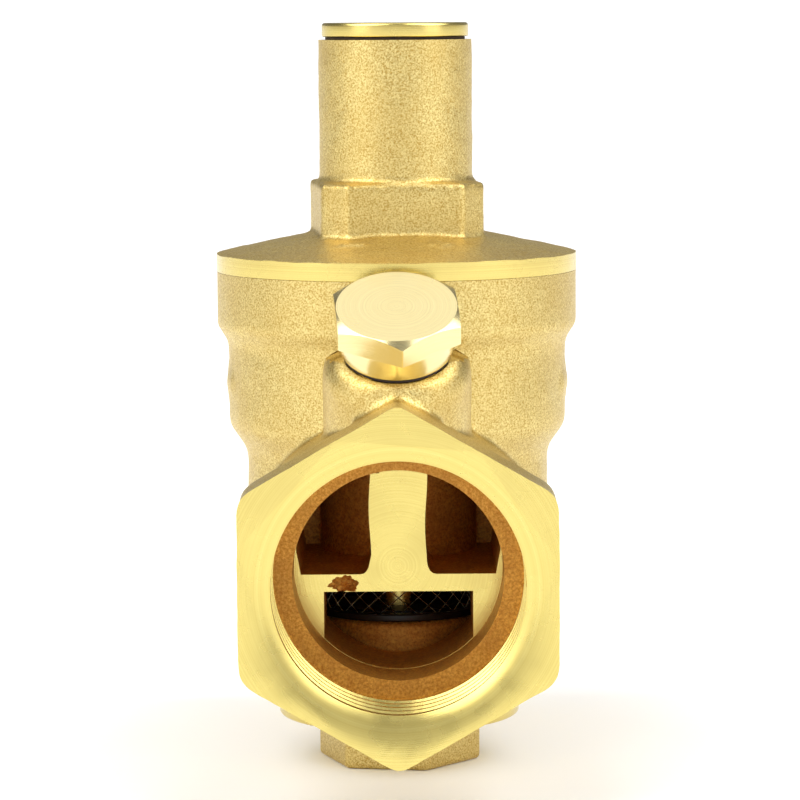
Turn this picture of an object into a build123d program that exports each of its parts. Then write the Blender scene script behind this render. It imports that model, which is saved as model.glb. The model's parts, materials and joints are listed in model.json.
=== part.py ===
"""DN20 (3/4 inch) brass water pressure regulator with a diaphragm, a spring and a strainer.

Frame: +Z is up along the stem, +Y is the way the water flows, and the origin is the centre
of the bottom plug's underside. Lengths are in millimetres.
"""

from build123d import *
import math
import os

# ---- Clearances, walls and cutting allowances --------------------------------------------------
thread_clearance = 0.05
running_clearance = 0.05
spring_clearance = 0.05
spring_side_clearance = 0.3
spring_guide_clearance = 0.25
rim_clearance = 0.6
strainer_clearance = 0.4
web_gap = 0.1
overshoot = 1.0

# ---- Ports: G3/4 female threads in hexagonal ends ----------------------------------------------
face_to_face = 70.0
thread_minor_radius = 12.06
thread_height = 1.16
thread_depth = 9.2
port_chamfer = 1.54
throat_shoulder = 1.86
neck_wall = 1.28
hex_length = 8.0
hex_step = 0.5
hex_side_round = 2.3
hex_tip_round = 1.0

thread_major_radius = thread_minor_radius + thread_height
throat_radius = thread_minor_radius - throat_shoulder
neck_radius = thread_major_radius + neck_wall
hex_across_flats = 2 * (neck_radius + hex_step)

# ---- Stem and its guide -----------------------------------------------------------------------------
stem_radius = 2.5
stem_pin_step = 1.0
stem_tail_step = 0.5
stem_pin_stop_gap = 0.5
stem_end_length = 0.8
disc_nut_wall = 1.25
disc_nut_height = 1.4
guide_wall = 2.0
guide_collar_step = 0.5
guide_overhang = 1.0

stem_pin_radius = stem_radius - stem_pin_step
stem_tail_radius = stem_radius - stem_tail_step
guide_body_radius = stem_radius + guide_wall
guide_collar_radius = guide_body_radius + guide_collar_step
disc_nut_flats = 2 * (stem_pin_radius + disc_nut_wall)
disc_nut_corner = disc_nut_flats / 2 / math.cos(math.radians(30))

# ---- Strainer chamber and what stands in it -----------------------------------------------------
guide_gap = 1.3
plug_rim_wall = 1.6
strainer_inset = 1.0
strainer_wall = 0.3
strainer_ring_overhang = 0.75
strainer_ring_lip = 0.7
strainer_ring_thickness = 0.7
seat_flange_step = 1.2
seat_flange_thickness = 1.1
seat_lip_step = 0.2
seat_lip_height = 0.5
seat_wall = 0.8
seat_tube_wall = 2.2
seat_tube_length = 2.6
valve_lift = 2.5
disc_holder_wall = 0.7
disc_holder_floor = 1.5
disc_holder_rim_drop = 0.6
disc_seal_thickness = 1.8

seat_bore_radius = guide_body_radius + guide_gap
seat_flange_radius = seat_bore_radius + seat_flange_step
seat_lip_radius = seat_bore_radius - seat_lip_step
seat_opening_radius = seat_bore_radius - seat_wall
seat_tube_radius = seat_bore_radius + seat_tube_wall
strainer_ring_inner = seat_flange_radius + spring_side_clearance
strainer_radius = strainer_ring_inner + strainer_ring_lip
strainer_ring_outer = strainer_radius + strainer_ring_overhang
plug_rim_radius = strainer_radius + strainer_inset
plug_cup_radius = plug_rim_radius - plug_rim_wall
chamber_radius = plug_rim_radius + rim_clearance
disc_holder_radius = strainer_ring_inner - strainer_clearance
disc_seal_radius = disc_holder_radius - disc_holder_wall

# ---- Bottom plug -----------------------------------------------------------------------------------
plug_hex_flats = 14.7
plug_hex_height = 4.85
plug_hex_turn = -10.0
plug_edge_chamfer = 0.9
plug_flange_thickness = 2.0
plug_thread_step = 0.4
plug_groove_depth = 0.6
plug_groove_width = 1.35
plug_gland_step = 0.8
plug_thread_relief = 0.6
plug_boss_wall = 2.33
plug_cup_floor = 7.0
plug_guide_floor = 2.0
plug_rim_rise = 2.9
o_ring_radius = 0.62
o_ring_gap = 0.02

plug_thread_radius = chamber_radius + plug_thread_step
plug_groove_radius = plug_thread_radius - plug_groove_depth
plug_gland_radius = plug_thread_radius + plug_gland_step
boss_radius = plug_thread_radius + plug_boss_wall

# ---- Body casting: three stacked cylinders that widen towards the bonnet -------------------------
barrel_wall = 5.64
collar_radius = 18.3
collar_wall = 2.3
ledge_width = 2.5
waist_wall = 3.6
neck_lift = 1.45
barrel_floor_rise = 3.15
barrel_slope_height = 2.6
waist_height = 8.5
collar_slope_height = 1.7
collar_height = 5.3
casting_round = 2.0
small_round = 0.9
edge_round = 0.3
fine_round = 0.2
rim_round = 0.8

barrel_radius = chamber_radius + barrel_wall
socket_radius = collar_radius - collar_wall
sensing_chamber_radius = socket_radius - ledge_width
waist_radius = sensing_chamber_radius + waist_wall

# ---- Passages inside the body ----------------------------------------------------------------------
web_drop = 0.8
web_thickness = 1.7
web_reach = 9.9
rib_width = 5.6
rib_round = 1.2
pocket_end = 2.0
window_inset = 2.25
outlet_wall = 2.9
ceiling_thickness = 4.0
sensing_chamber_depth = 6.5
sensing_hole_radius = 1.25
sensing_hole_inset = 3.5
outlet_slot_inset = 0.8
outlet_slot_drop = 1.6
outlet_slot_round = 2.0
web_chip_depth = 0.8
web_chip_base = 0.3
web_chip_outline = [(0.2, 0.9), (0.9, 0.4), (1.7, 0.7), (2.5, 0.25), (3.3, 0.8)]
web_chip_end = 3.1
flash_depth = 0.8
flash_outline = [(0.5, 5.2), (0.0, 5.6), (-0.6, 6.3), (-1.2, 7.4), (-0.5, 7.9), (0.5, 8.0)]

# ---- Bonnet -------------------------------------------------------------------------------------------
bonnet_rim_step = 0.03
bonnet_rim_height = 1.7
bonnet_rim_round = 0.6
bonnet_cone_height = 2.0
bonnet_cone_step = 0.95
bonnet_spigot_step = 0.1
bonnet_wall = 2.4
bonnet_throat_wall = 1.2
wrench_step = 0.47
wrench_chamfer = 2.4
wrench_turn = 6.7
wrench_height = 5.3
wrench_round = 0.6
neck_tube_radius = 7.68
neck_tube_wall = 1.28
neck_tube_length = 14.4

bonnet_rim_radius = collar_radius + bonnet_rim_step
bonnet_spigot_inner = sensing_chamber_radius - bonnet_spigot_step
wrench_flats = 2 * (neck_tube_radius + wrench_step)
bonnet_cone_top_radius = wrench_flats / 2 + bonnet_cone_step
neck_bore_radius = neck_tube_radius - neck_tube_wall

# ---- Springs, adjuster and cap -------------------------------------------------------------------------
spring_wire = 1.8
spring_turns = 5.0
return_spring_gap = 0.725
return_spring_wire = 0.8
return_spring_turns = 4.0
adjuster_gap = 1.7
adjuster_height = 5.0
adjuster_socket_flats = 6.0
adjuster_socket_depth = 3.5
button_thickness = 1.5
button_spigot_length = 2.0
cap_step = 0.24
cap_thickness = 1.4
cap_spigot_length = 3.0
cap_slot_share = 0.75
cap_slot_width = 1.6
cap_slot_depth = 0.7
cap_gasket_thickness = 0.3
cap_gasket_gap = 0.1
cap_gasket_inset = 0.34

spring_radius = neck_bore_radius - spring_side_clearance
spring_guide_radius = spring_radius - spring_wire - spring_guide_clearance
return_spring_radius = disc_nut_corner + return_spring_gap + return_spring_wire
cap_radius = neck_tube_radius - cap_step

# ---- Diaphragm and its plates ------------------------------------------------------------------------
diaphragm_gap = 0.1
diaphragm_thickness = 1.8
diaphragm_dish = 1.5
diaphragm_rim_inset = 0.9
diaphragm_bend_width = 3.1
plate_inset = 0.2
plate_bend_step = 0.6
backing_thickness = 1.5
plate_thickness = 1.5
plate_collar_height = 1.2
lock_washer_inset = 0.45
lock_washer_split = 0.5
lock_washer_thickness = 0.6
stem_nut_height = 2.5
stem_nut_chamfer = 0.25
slip_ring_thickness = 0.8

diaphragm_radius = socket_radius - diaphragm_gap
diaphragm_rim_inner = sensing_chamber_radius - diaphragm_rim_inset
diaphragm_flat_radius = diaphragm_rim_inner - diaphragm_bend_width
plate_radius = diaphragm_flat_radius - plate_inset
lock_washer_radius = spring_guide_radius - lock_washer_inset
stem_nut_flats = 2 * spring_guide_radius * math.cos(math.radians(30))

# ---- Gauge boss and its plug, tilted towards the inlet ---------------------------------------------
boss_tilt = 30.0
gauge_thread_radius = 4.80
gauge_thread_length = 6.0
gauge_boss_wall = 2.3
gauge_boss_round = 1.0
gauge_boss_length = 22.0
gauge_hole_depth = 7.5
gauge_passage_radius = 1.1
gauge_collar_step = 0.6
gauge_collar_height = 2.05
gauge_collar_round = 0.5
gauge_seal_gap = 0.15
gauge_seal_width = 0.65
gauge_seal_thickness = 0.35
gauge_hex_step = 1.05
gauge_hex_height = 2.9
gauge_hex_turn = 34.7
gauge_hex_chamfer = 0.45
gauge_plug_gap = 0.4
gauge_plug_rise = 2.785

gauge_boss_radius = gauge_thread_radius + gauge_boss_wall
gauge_collar_radius = gauge_thread_radius + gauge_collar_step
gauge_hex_flats = 2 * (gauge_thread_radius + gauge_hex_step)
gauge_hex_corner = gauge_hex_flats / 2 / math.cos(math.radians(30))
gauge_head_low = gauge_seal_thickness + gauge_collar_height

# ---- Raised marks --------------------------------------------------------------------------------------
mark_relief = 0.25
mark_depth = 1.0
arrow_length = 9.0
arrow_height = 3.6
arrow_bar_height = 1.4
sign_size = 2.4
sign_stroke = 0.7
sign_offset = 4.2
sign_inset = 6.3

# ---- Heights that follow from the sizes above --------------------------------------------------------
boss_floor_z = plug_hex_height + plug_flange_thickness
port_height = boss_floor_z + neck_lift + neck_radius
barrel_floor_z = boss_floor_z + barrel_floor_rise
web_top_z = port_height - web_drop
web_bottom_z = web_top_z - web_thickness
ceiling_z = port_height + throat_radius
sensing_floor_z = ceiling_z + ceiling_thickness
ledge_z = sensing_floor_z + sensing_chamber_depth
collar_z = ledge_z + collar_slope_height
body_top_z = collar_z + collar_height
waist_z = ledge_z - waist_height
barrel_top_z = waist_z - barrel_slope_height
cone_z = body_top_z + bonnet_rim_height
wrench_z = cone_z + bonnet_cone_height
neck_z = wrench_z + wrench_height
neck_top_z = neck_z + neck_tube_length
cap_z = neck_top_z + cap_gasket_thickness

window_floor_z = port_height - throat_radius
plug_rim_z = window_floor_z + plug_rim_rise
plug_groove_top_z = boss_floor_z + plug_groove_width
plug_thread_top_z = window_floor_z - plug_thread_relief
strainer_top_z = web_bottom_z - web_gap

seat_lip_z = web_bottom_z - seat_flange_thickness
seat_face_z = seat_lip_z - seat_lip_height
disc_top_z = seat_face_z - valve_lift
disc_floor_z = disc_top_z - disc_seal_thickness
disc_holder_z = disc_floor_z - disc_holder_floor
dish_z = ledge_z - diaphragm_dish
backing_z = dish_z - backing_thickness
plate_z = dish_z + diaphragm_thickness
plate_top_z = plate_z + plate_thickness
lock_washer_z = plate_top_z + plate_collar_height
stem_nut_z = lock_washer_z + lock_washer_thickness
stem_nut_top_z = stem_nut_z + stem_nut_height
stem_top_z = stem_nut_top_z + stem_end_length
slip_ring_z = ledge_z + diaphragm_thickness
spigot_z = slip_ring_z + slip_ring_thickness

cap_spigot_z = neck_top_z - cap_spigot_length
adjuster_top_z = cap_spigot_z - adjuster_gap
adjuster_z = adjuster_top_z - adjuster_height
button_z = adjuster_z - button_thickness

# ---- Places along the flow -----------------------------------------------------------------------------
web_front_y = -(chamber_radius + web_reach)
outlet_end_y = chamber_radius + outlet_wall
window_width = 2 * (chamber_radius - window_inset)
cone_slope = bonnet_cone_height / (bonnet_rim_radius - bonnet_cone_top_radius)

# ---- Gauge boss plane: origin on the boss face, +Z out along the plug -----------------------------
hex_tip_z = port_height + hex_across_flats / 2 / math.cos(math.radians(30))
tilt_sine = math.sin(math.radians(boss_tilt))
tilt_cosine = math.cos(math.radians(boss_tilt))
boss_face_y = -(collar_radius + gauge_plug_gap + gauge_hex_corner * tilt_cosine - gauge_head_low * tilt_sine)
boss_face_z = hex_tip_z + gauge_plug_rise + gauge_hex_corner * tilt_sine - gauge_head_low * tilt_cosine
boss_plane = Plane(
    origin=(0, boss_face_y, boss_face_z), x_dir=(1, 0, 0), z_dir=(0, -tilt_sine, tilt_cosine)
)


# ---- Helpers ------------------------------------------------------------------------------------------
def turned(points, radii=None):
    """Solid of revolution about Z from (radius, height) points, with a round at each corner."""
    rounds = radii if radii is not None else [0] * len(points)
    outline = FilletPolyline(*points, radius=rounds, close=True)
    return revolve(Plane.XZ * make_face(outline), Axis.Z)


def ring(outer, inner, low, high):
    """Plain ring about Z between two heights."""
    return turned([(inner, low), (outer, low), (outer, high), (inner, high)])


def disc(radius, low, high):
    """Plain round disc about Z between two heights."""
    return Pos(0, 0, low) * Cylinder(radius, high - low, align=(Align.CENTER, Align.CENTER, Align.MIN))


def hexagon(flats, low, high, turn=0.0):
    """Upright hexagonal prism by its width across flats."""
    outline = RegularPolygon(radius=flats / 2, side_count=6, major_radius=False)
    return Pos(0, 0, low) * extrude(Rot(0, 0, turn) * outline, high - low)


def hexagon_with_cone_corners(flats, low, high, turn, corner_drop, at_top):
    """Hexagonal prism whose corners are turned back by a chamfer at one end."""
    tip = flats / 2 / math.cos(math.radians(30))
    prism = hexagon(flats, low, high, turn)
    if at_top:
        outline = [
            (0, low),
            (tip, low),
            (tip, high - corner_drop),
            (tip - 2 * corner_drop, high),
            (0, high),
        ]
    else:
        outline = [
            (0, low),
            (tip - 2 * corner_drop, low),
            (tip, low + corner_drop),
            (tip, high),
            (0, high),
        ]
    return prism & turned(outline)


def coil(radius, wire, low, high, turns):
    """Round-wire spring of the given outer radius standing between two heights."""
    rise = high - low - wire
    path = Helix(pitch=rise / turns, height=rise, radius=radius - wire / 2)
    section = Plane(origin=path @ 0, z_dir=path % 0) * Circle(wire / 2)
    return Pos(0, 0, low + wire / 2) * sweep(section, path=path, is_frenet=True)


def along_y(shape):
    """Turns a shape made about +Z so that its +Z points along +Y."""
    return Rot(-90, 0, 0) * shape


# ---- Body ---------------------------------------------------------------------------------------------
def body_outside():
    """Turned casting with two hexagonal ends and the tilted gauge boss."""
    stack = turned(
        [
            (0, boss_floor_z),
            (boss_radius, boss_floor_z),
            (boss_radius, barrel_floor_z),
            (barrel_radius, barrel_floor_z),
            (barrel_radius, barrel_top_z),
            (waist_radius, waist_z),
            (waist_radius, ledge_z),
            (collar_radius, collar_z),
            (collar_radius, body_top_z),
            (0, body_top_z),
        ],
        [
            0,
            edge_round,
            small_round,
            casting_round,
            casting_round,
            casting_round,
            small_round,
            small_round,
            edge_round,
            0,
        ],
    )
    neck = along_y(Cylinder(neck_radius, face_to_face - 2 * hex_length))
    outside = stack + Pos(0, 0, port_height) * neck
    for side in (-1, 1):
        outside += port_hexagon(side)
    shaft = Pos(0, 0, -gauge_boss_length) * Cylinder(
        gauge_boss_radius, gauge_boss_length, align=(Align.CENTER, Align.CENTER, Align.MIN)
    )
    shaft = fillet(shaft.edges().sort_by(Axis.Z)[-1:], gauge_boss_round)
    return outside + boss_plane * shaft


def port_hexagon(side):
    """Hexagonal end with upright side flats and its points up and down."""
    outline = RegularPolygon(radius=hex_across_flats / 2, side_count=6, major_radius=False)
    prism = extrude(Rot(0, 0, 30) * outline, hex_length)
    sides = prism.edges().filter_by(Axis.Z).filter_by(lambda edge: abs(edge.center().X) > hex_tip_round)
    prism = fillet(sides, hex_side_round)
    tips = prism.edges().filter_by(Axis.Z).filter_by(lambda edge: abs(edge.center().X) < hex_tip_round)
    prism = fillet(tips, hex_tip_round)
    start = face_to_face / 2 - hex_length if side > 0 else -face_to_face / 2
    return Pos(0, start, port_height) * along_y(prism)


def port_cut(depth):
    """Chamfer, threaded bore at its crest radius, shoulder and throat of a port; +Z goes into the body."""
    outline = [
        (0, -overshoot),
        (thread_minor_radius + port_chamfer, -overshoot),
        (thread_minor_radius + port_chamfer, 0),
        (thread_minor_radius, port_chamfer),
        (thread_minor_radius, thread_depth),
        (throat_radius, thread_depth),
        (throat_radius, depth),
        (0, depth),
    ]
    return turned(outline)


def throat_run(start, end):
    """Round bore of the throat between two places along the flow."""
    bore = Cylinder(throat_radius, end - start, align=(Align.CENTER, Align.CENTER, Align.MIN))
    return Pos(0, start, port_height) * along_y(bore)


def inlet_pockets():
    """Two hollows beside the rib, in front of the seat tube and above the web."""
    start = web_front_y
    bore = throat_run(start, pocket_end)
    cells = None
    for side in (-1, 1):
        cell = Box(throat_radius, pocket_end - start, 2 * throat_radius)
        lower = cell.edges().filter_by(Axis.Y).group_by(Axis.Z)[0]
        inner = lower.sort_by(Axis.X)[0] if side > 0 else lower.sort_by(Axis.X)[-1]
        cell = fillet(inner, rib_round)
        middle_x = side * (rib_width + throat_radius) / 2
        cell = Pos(middle_x, (start + pocket_end) / 2, web_top_z + throat_radius) * cell
        cells = cell if cells is None else cells + cell
    return (bore & cells) - disc(seat_tube_radius, web_bottom_z, ceiling_z + overshoot)


def inlet_window():
    """Opening under the web, from the inlet bore into the strainer chamber."""
    bore = throat_run(web_front_y, 0)
    opening = Box(window_width, -web_front_y, 2 * throat_radius, align=(Align.CENTER, Align.MIN, Align.MAX))
    return bore & (Pos(0, web_front_y, web_bottom_z) * opening)


def web_chip():
    """Ragged broken patch in the front of the web, at the window's upper corner."""
    half = window_width / 2
    broken_edge = [(across - half, web_top_z - drop) for across, drop in web_chip_outline]
    outline = Polyline(
        (web_chip_base - half, web_bottom_z - web_chip_base),
        *broken_edge,
        (web_chip_end - half, web_bottom_z - web_chip_base),
        close=True,
    )
    return Pos(0, web_front_y, 0) * extrude(Plane.XZ * make_face(outline), -web_chip_depth)


def casting_flash():
    """Thin flash left on the window's right leg."""
    half = window_width / 2
    points = [(half + across, port_height - drop) for across, drop in flash_outline]
    outline = Polyline(*points, close=True)
    return Pos(0, web_front_y, 0) * extrude(Plane.XZ * make_face(outline), -flash_depth)


def body_core():
    """Everything turned about the stem: plug thread, strainer chamber, seat bore and bonnet socket."""
    thread_radius = plug_thread_radius + thread_clearance
    return turned(
        [
            (0, boss_floor_z - overshoot),
            (plug_gland_radius, boss_floor_z - overshoot),
            (plug_gland_radius, plug_groove_top_z + web_gap),
            (thread_radius, plug_groove_top_z + web_gap),
            (thread_radius, plug_thread_top_z + web_gap),
            (chamber_radius, plug_thread_top_z + web_gap),
            (chamber_radius, web_bottom_z),
            (seat_bore_radius, web_bottom_z),
            (seat_bore_radius, ceiling_z),
            (guide_body_radius, ceiling_z),
            (guide_body_radius, sensing_floor_z),
            (sensing_chamber_radius, sensing_floor_z),
            (sensing_chamber_radius, ledge_z),
            (socket_radius, ledge_z),
            (socket_radius, body_top_z + overshoot),
            (0, body_top_z + overshoot),
        ]
    )


def outlet_slot():
    """Opening from the seat tube to the outlet bore."""
    width = 2 * (seat_bore_radius - outlet_slot_inset)
    height = throat_radius - outlet_slot_drop
    slot = Box(width, outlet_end_y + overshoot, height, align=(Align.CENTER, Align.MIN, Align.MIN))
    slot = fillet(slot.edges().filter_by(Axis.Y), outlet_slot_round)
    return Pos(0, 0, port_height) * slot


def sensing_hole():
    """Small drilling that brings outlet pressure under the diaphragm."""
    low = ceiling_z - outlet_slot_drop - overshoot
    hole = disc(sensing_hole_radius, low, sensing_floor_z + overshoot)
    return Pos(0, sensing_chamber_radius - sensing_hole_inset, 0) * hole


def gauge_drillings():
    """Threaded hole of the gauge boss and its passage to the chamber under the diaphragm."""
    hole = Pos(0, 0, -gauge_hole_depth) * Cylinder(
        gauge_thread_radius + thread_clearance,
        gauge_hole_depth + overshoot,
        align=(Align.CENTER, Align.CENTER, Align.MIN),
    )
    start = boss_plane.from_local_coords(Vector(0, 0, -gauge_hole_depth + gauge_passage_radius))
    end = Vector(0, overshoot - sensing_chamber_radius, ledge_z - gauge_passage_radius - overshoot)
    path = end - start
    passage = Plane(origin=start, z_dir=path) * Cylinder(
        gauge_passage_radius, path.length, align=(Align.CENTER, Align.CENTER, Align.MIN)
    )
    return boss_plane * hole + passage


def flow_arrow(side):
    """Raised arrow along the flow on one flank of the body, flush with the cast surface behind it."""
    head = arrow_height
    middle = (waist_z + ledge_z) / 2
    shaft_end = arrow_length / 2 - head
    outline = Polyline(
        (-arrow_length / 2, -arrow_bar_height / 2),
        (shaft_end, -arrow_bar_height / 2),
        (shaft_end, -arrow_height / 2),
        (arrow_length / 2, 0),
        (shaft_end, arrow_height / 2),
        (shaft_end, arrow_bar_height / 2),
        (-arrow_length / 2, arrow_bar_height / 2),
        close=True,
    )
    outer = waist_radius + mark_relief
    flank = Plane(origin=(0, 0, middle), x_dir=(0, 1, 0), z_dir=(side, 0, 0))
    prism = extrude(flank * make_face(outline), outer + overshoot)
    return prism & ring(outer, waist_radius - mark_depth, middle - arrow_height, middle + arrow_height)


def make_body():
    """Cast and machined body."""
    solid = body_outside()
    for side in (-1, 1):
        solid += flow_arrow(side)
    solid -= Pos(0, -face_to_face / 2, port_height) * along_y(port_cut(face_to_face / 2 + web_front_y))
    outlet = Rot(0, 0, 180) * along_y(port_cut(face_to_face / 2 - outlet_end_y))
    solid -= Pos(0, face_to_face / 2, port_height) * outlet
    solid -= inlet_pockets()
    solid -= inlet_window()
    solid -= body_core()
    solid -= outlet_slot()
    solid -= sensing_hole()
    solid -= gauge_drillings()
    solid -= web_chip()
    solid += casting_flash()
    return solid


# ---- Bottom plug and strainer ------------------------------------------------------------------------
def make_bottom_plug():
    """Hexagon-headed plug with a cup that holds the strainer and guides the stem's pin."""
    head = hexagon_with_cone_corners(
        plug_hex_flats, 0, plug_hex_height, plug_hex_turn, plug_edge_chamfer, at_top=False
    )
    turning = turned(
        [
            (0, plug_hex_height),
            (boss_radius, plug_hex_height),
            (boss_radius, boss_floor_z),
            (plug_groove_radius, boss_floor_z),
            (plug_groove_radius, plug_groove_top_z),
            (plug_thread_radius, plug_groove_top_z),
            (plug_thread_radius, plug_thread_top_z),
            (plug_rim_radius, plug_thread_top_z),
            (plug_rim_radius, plug_rim_z),
            (0, plug_rim_z),
        ],
        [0, edge_round, edge_round, 0, 0, 0, edge_round, 0, rim_round, 0],
    )
    cup = disc(plug_cup_radius, plug_cup_floor, plug_rim_z + overshoot)
    guide = disc(stem_pin_radius + running_clearance, plug_guide_floor, plug_cup_floor + overshoot)
    return head + turning - cup - guide


def make_bottom_plug_o_ring():
    """O-ring between the plug's flange and the body."""
    middle = plug_groove_radius + o_ring_radius + o_ring_gap
    height = boss_floor_z + plug_groove_width / 2
    return Pos(0, 0, height) * Torus(middle, o_ring_radius)


def make_strainer_screen():
    """Cylinder of woven wire."""
    low = plug_rim_z + strainer_ring_thickness
    high = strainer_top_z - strainer_ring_thickness
    return ring(strainer_radius, strainer_radius - strainer_wall, low, high)


def make_strainer_ring(low):
    """Moulded end ring of the strainer."""
    return ring(strainer_ring_outer, strainer_ring_inner, low, low + strainer_ring_thickness)


# ---- Valve ------------------------------------------------------------------------------------------
def make_seat_ring():
    """Stainless seat pressed into the web, with a narrow lip facing the disc."""
    return turned(
        [
            (seat_opening_radius, seat_face_z),
            (seat_lip_radius, seat_face_z),
            (seat_lip_radius, seat_lip_z),
            (seat_flange_radius, seat_lip_z),
            (seat_flange_radius, web_bottom_z),
            (seat_bore_radius, web_bottom_z),
            (seat_bore_radius, web_bottom_z + seat_tube_length),
            (seat_opening_radius, web_bottom_z + seat_tube_length),
        ],
        [fine_round, fine_round, 0, fine_round, 0, 0, edge_round, 0],
    )


def make_disc_holder():
    """Shallow cup that carries the rubber disc."""
    rim_z = disc_top_z - disc_holder_rim_drop
    return turned(
        [
            (stem_pin_radius, disc_holder_z),
            (disc_holder_radius, disc_holder_z),
            (disc_holder_radius, rim_z),
            (disc_seal_radius, rim_z),
            (disc_seal_radius, disc_floor_z),
            (stem_pin_radius, disc_floor_z),
        ],
        [0, edge_round, fine_round, 0, 0, 0],
    )


def make_disc_seal():
    """Rubber disc that closes on the seat."""
    return ring(disc_seal_radius, stem_pin_radius, disc_floor_z, disc_top_z)


def make_disc_nut():
    """Hexagon nut that clamps the disc holder to the stem."""
    low = disc_holder_z - disc_nut_height
    nut = hexagon(disc_nut_flats, low, disc_holder_z)
    return nut - disc(stem_pin_radius, low - overshoot, disc_holder_z + overshoot)


def make_stem():
    """Stem with a guide pin below and a threaded tail above."""
    return turned(
        [
            (0, plug_guide_floor + stem_pin_stop_gap),
            (stem_pin_radius, plug_guide_floor + stem_pin_stop_gap),
            (stem_pin_radius, disc_top_z),
            (stem_radius, disc_top_z),
            (stem_radius, backing_z),
            (stem_tail_radius, backing_z),
            (stem_tail_radius, stem_top_z),
            (0, stem_top_z),
        ],
        [0, edge_round, 0, 0, 0, 0, edge_round, 0],
    )


def make_stem_guide():
    """Bush in the ceiling of the seat tube, whose collar stops the valve when it is fully open."""
    return turned(
        [
            (stem_radius + running_clearance, ceiling_z - guide_overhang),
            (guide_body_radius, ceiling_z - guide_overhang),
            (guide_body_radius, sensing_floor_z),
            (guide_collar_radius, sensing_floor_z),
            (guide_collar_radius, backing_z),
            (stem_radius + running_clearance, backing_z),
        ],
        [0, edge_round, 0, 0, edge_round, 0],
    )


# ---- Diaphragm stack ----------------------------------------------------------------------------------
def make_diaphragm():
    """Reinforced rubber diaphragm, dished down while the valve is open."""
    return turned(
        [
            (stem_tail_radius, dish_z),
            (diaphragm_flat_radius, dish_z),
            (diaphragm_rim_inner + plate_bend_step, ledge_z),
            (diaphragm_radius, ledge_z),
            (diaphragm_radius, slip_ring_z),
            (diaphragm_rim_inner, slip_ring_z),
            (diaphragm_flat_radius - plate_bend_step, plate_z),
            (stem_tail_radius, plate_z),
        ],
        [0, rim_round, rim_round, 0, 0, rim_round, rim_round, 0],
    )


def make_backing_washer():
    """Disc under the diaphragm."""
    return ring(plate_radius, stem_tail_radius, backing_z, dish_z)


def make_diaphragm_plate():
    """Disc on top of the diaphragm, with a collar that centres the spring."""
    inside = plate_radius - plate_bend_step
    return turned(
        [
            (stem_tail_radius, plate_z),
            (inside, plate_z),
            (inside, plate_top_z),
            (spring_guide_radius, plate_top_z),
            (spring_guide_radius, lock_washer_z),
            (stem_tail_radius, lock_washer_z),
        ],
        [0, edge_round, edge_round, 0, edge_round, 0],
    )


def make_lock_washer():
    """Split washer under the stem nut."""
    washer = ring(lock_washer_radius, stem_tail_radius, lock_washer_z, stem_nut_z)
    split = Box(2 * lock_washer_radius, lock_washer_split, 2 * lock_washer_radius)
    return washer - Pos(lock_washer_radius, 0, lock_washer_z) * split


def make_stem_nut():
    """Hexagon nut that clamps the diaphragm plates."""
    nut = hexagon_with_cone_corners(
        stem_nut_flats, stem_nut_z, stem_nut_top_z, 0, stem_nut_chamfer, at_top=True
    )
    return nut - disc(stem_tail_radius, stem_nut_z - overshoot, stem_nut_top_z + overshoot)


def make_slip_ring():
    """Friction ring between the diaphragm's rim and the bonnet."""
    return ring(diaphragm_radius, bonnet_spigot_inner, slip_ring_z, spigot_z)


# ---- Bonnet ---------------------------------------------------------------------------------------------
def make_bonnet():
    """Screwed bonnet: rim and cone, square wrench section and neck tube."""
    cone = turned(
        [
            (0, spigot_z),
            (socket_radius - thread_clearance, spigot_z),
            (socket_radius - thread_clearance, body_top_z),
            (bonnet_rim_radius, body_top_z),
            (bonnet_rim_radius, cone_z),
            (bonnet_cone_top_radius, wrench_z),
            (0, wrench_z),
        ],
        [0, edge_round, 0, fine_round, bonnet_rim_round, 0, 0],
    )
    square = Box(wrench_flats, wrench_flats, wrench_height + overshoot)
    square = chamfer(square.edges().filter_by(Axis.Z), wrench_chamfer)
    square = fillet(square.edges().group_by(Axis.Z)[-1], wrench_round)
    square = Pos(0, 0, wrench_z + (wrench_height - overshoot) / 2) * (Rot(0, 0, wrench_turn) * square)
    neck = disc(neck_tube_radius, neck_z - overshoot, neck_top_z)
    solid = cone + square + neck
    for side in (-1, 1):
        solid += adjusting_sign(side)
    roof_at_spigot = cone_z + cone_slope * (bonnet_rim_radius - bonnet_spigot_inner) - bonnet_wall
    inside = turned(
        [
            (0, spigot_z - overshoot),
            (bonnet_spigot_inner, spigot_z - overshoot),
            (bonnet_spigot_inner, roof_at_spigot),
            (neck_bore_radius, wrench_z - bonnet_throat_wall),
            (neck_bore_radius, neck_top_z + overshoot),
            (0, neck_top_z + overshoot),
        ],
        [0, 0, small_round, 0, 0, 0],
    )
    return solid - inside


def adjusting_sign(side):
    """Raised plus or minus on the cone that shows which way the adjuster raises the pressure."""
    distance = bonnet_rim_radius - sign_inset
    surface = cone_z + cone_slope * sign_inset
    bar = Box(sign_size, sign_stroke, 2 * mark_depth)
    upright = Box(sign_stroke, sign_size, 2 * mark_depth)
    shape = bar + upright if side > 0 else bar
    tilt = math.degrees(math.atan(cone_slope))
    sign = Rot(tilt, 0, 0) * (Pos(0, 0, mark_relief - mark_depth) * shape)
    turn = side * math.degrees(sign_offset / distance)
    return Rot(0, 0, turn) * (Pos(0, -distance, surface) * sign)


# ---- Adjuster and cap ----------------------------------------------------------------------------------
def make_adjusting_screw():
    """Threaded plug with a hexagon socket that sets the spring."""
    screw = turned(
        [
            (0, adjuster_z),
            (neck_bore_radius - thread_clearance, adjuster_z),
            (neck_bore_radius - thread_clearance, adjuster_top_z),
            (0, adjuster_top_z),
        ],
        [0, edge_round, edge_round, 0],
    )
    floor_z = adjuster_top_z - adjuster_socket_depth
    return screw - hexagon(adjuster_socket_flats, floor_z, adjuster_top_z + overshoot)


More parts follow.
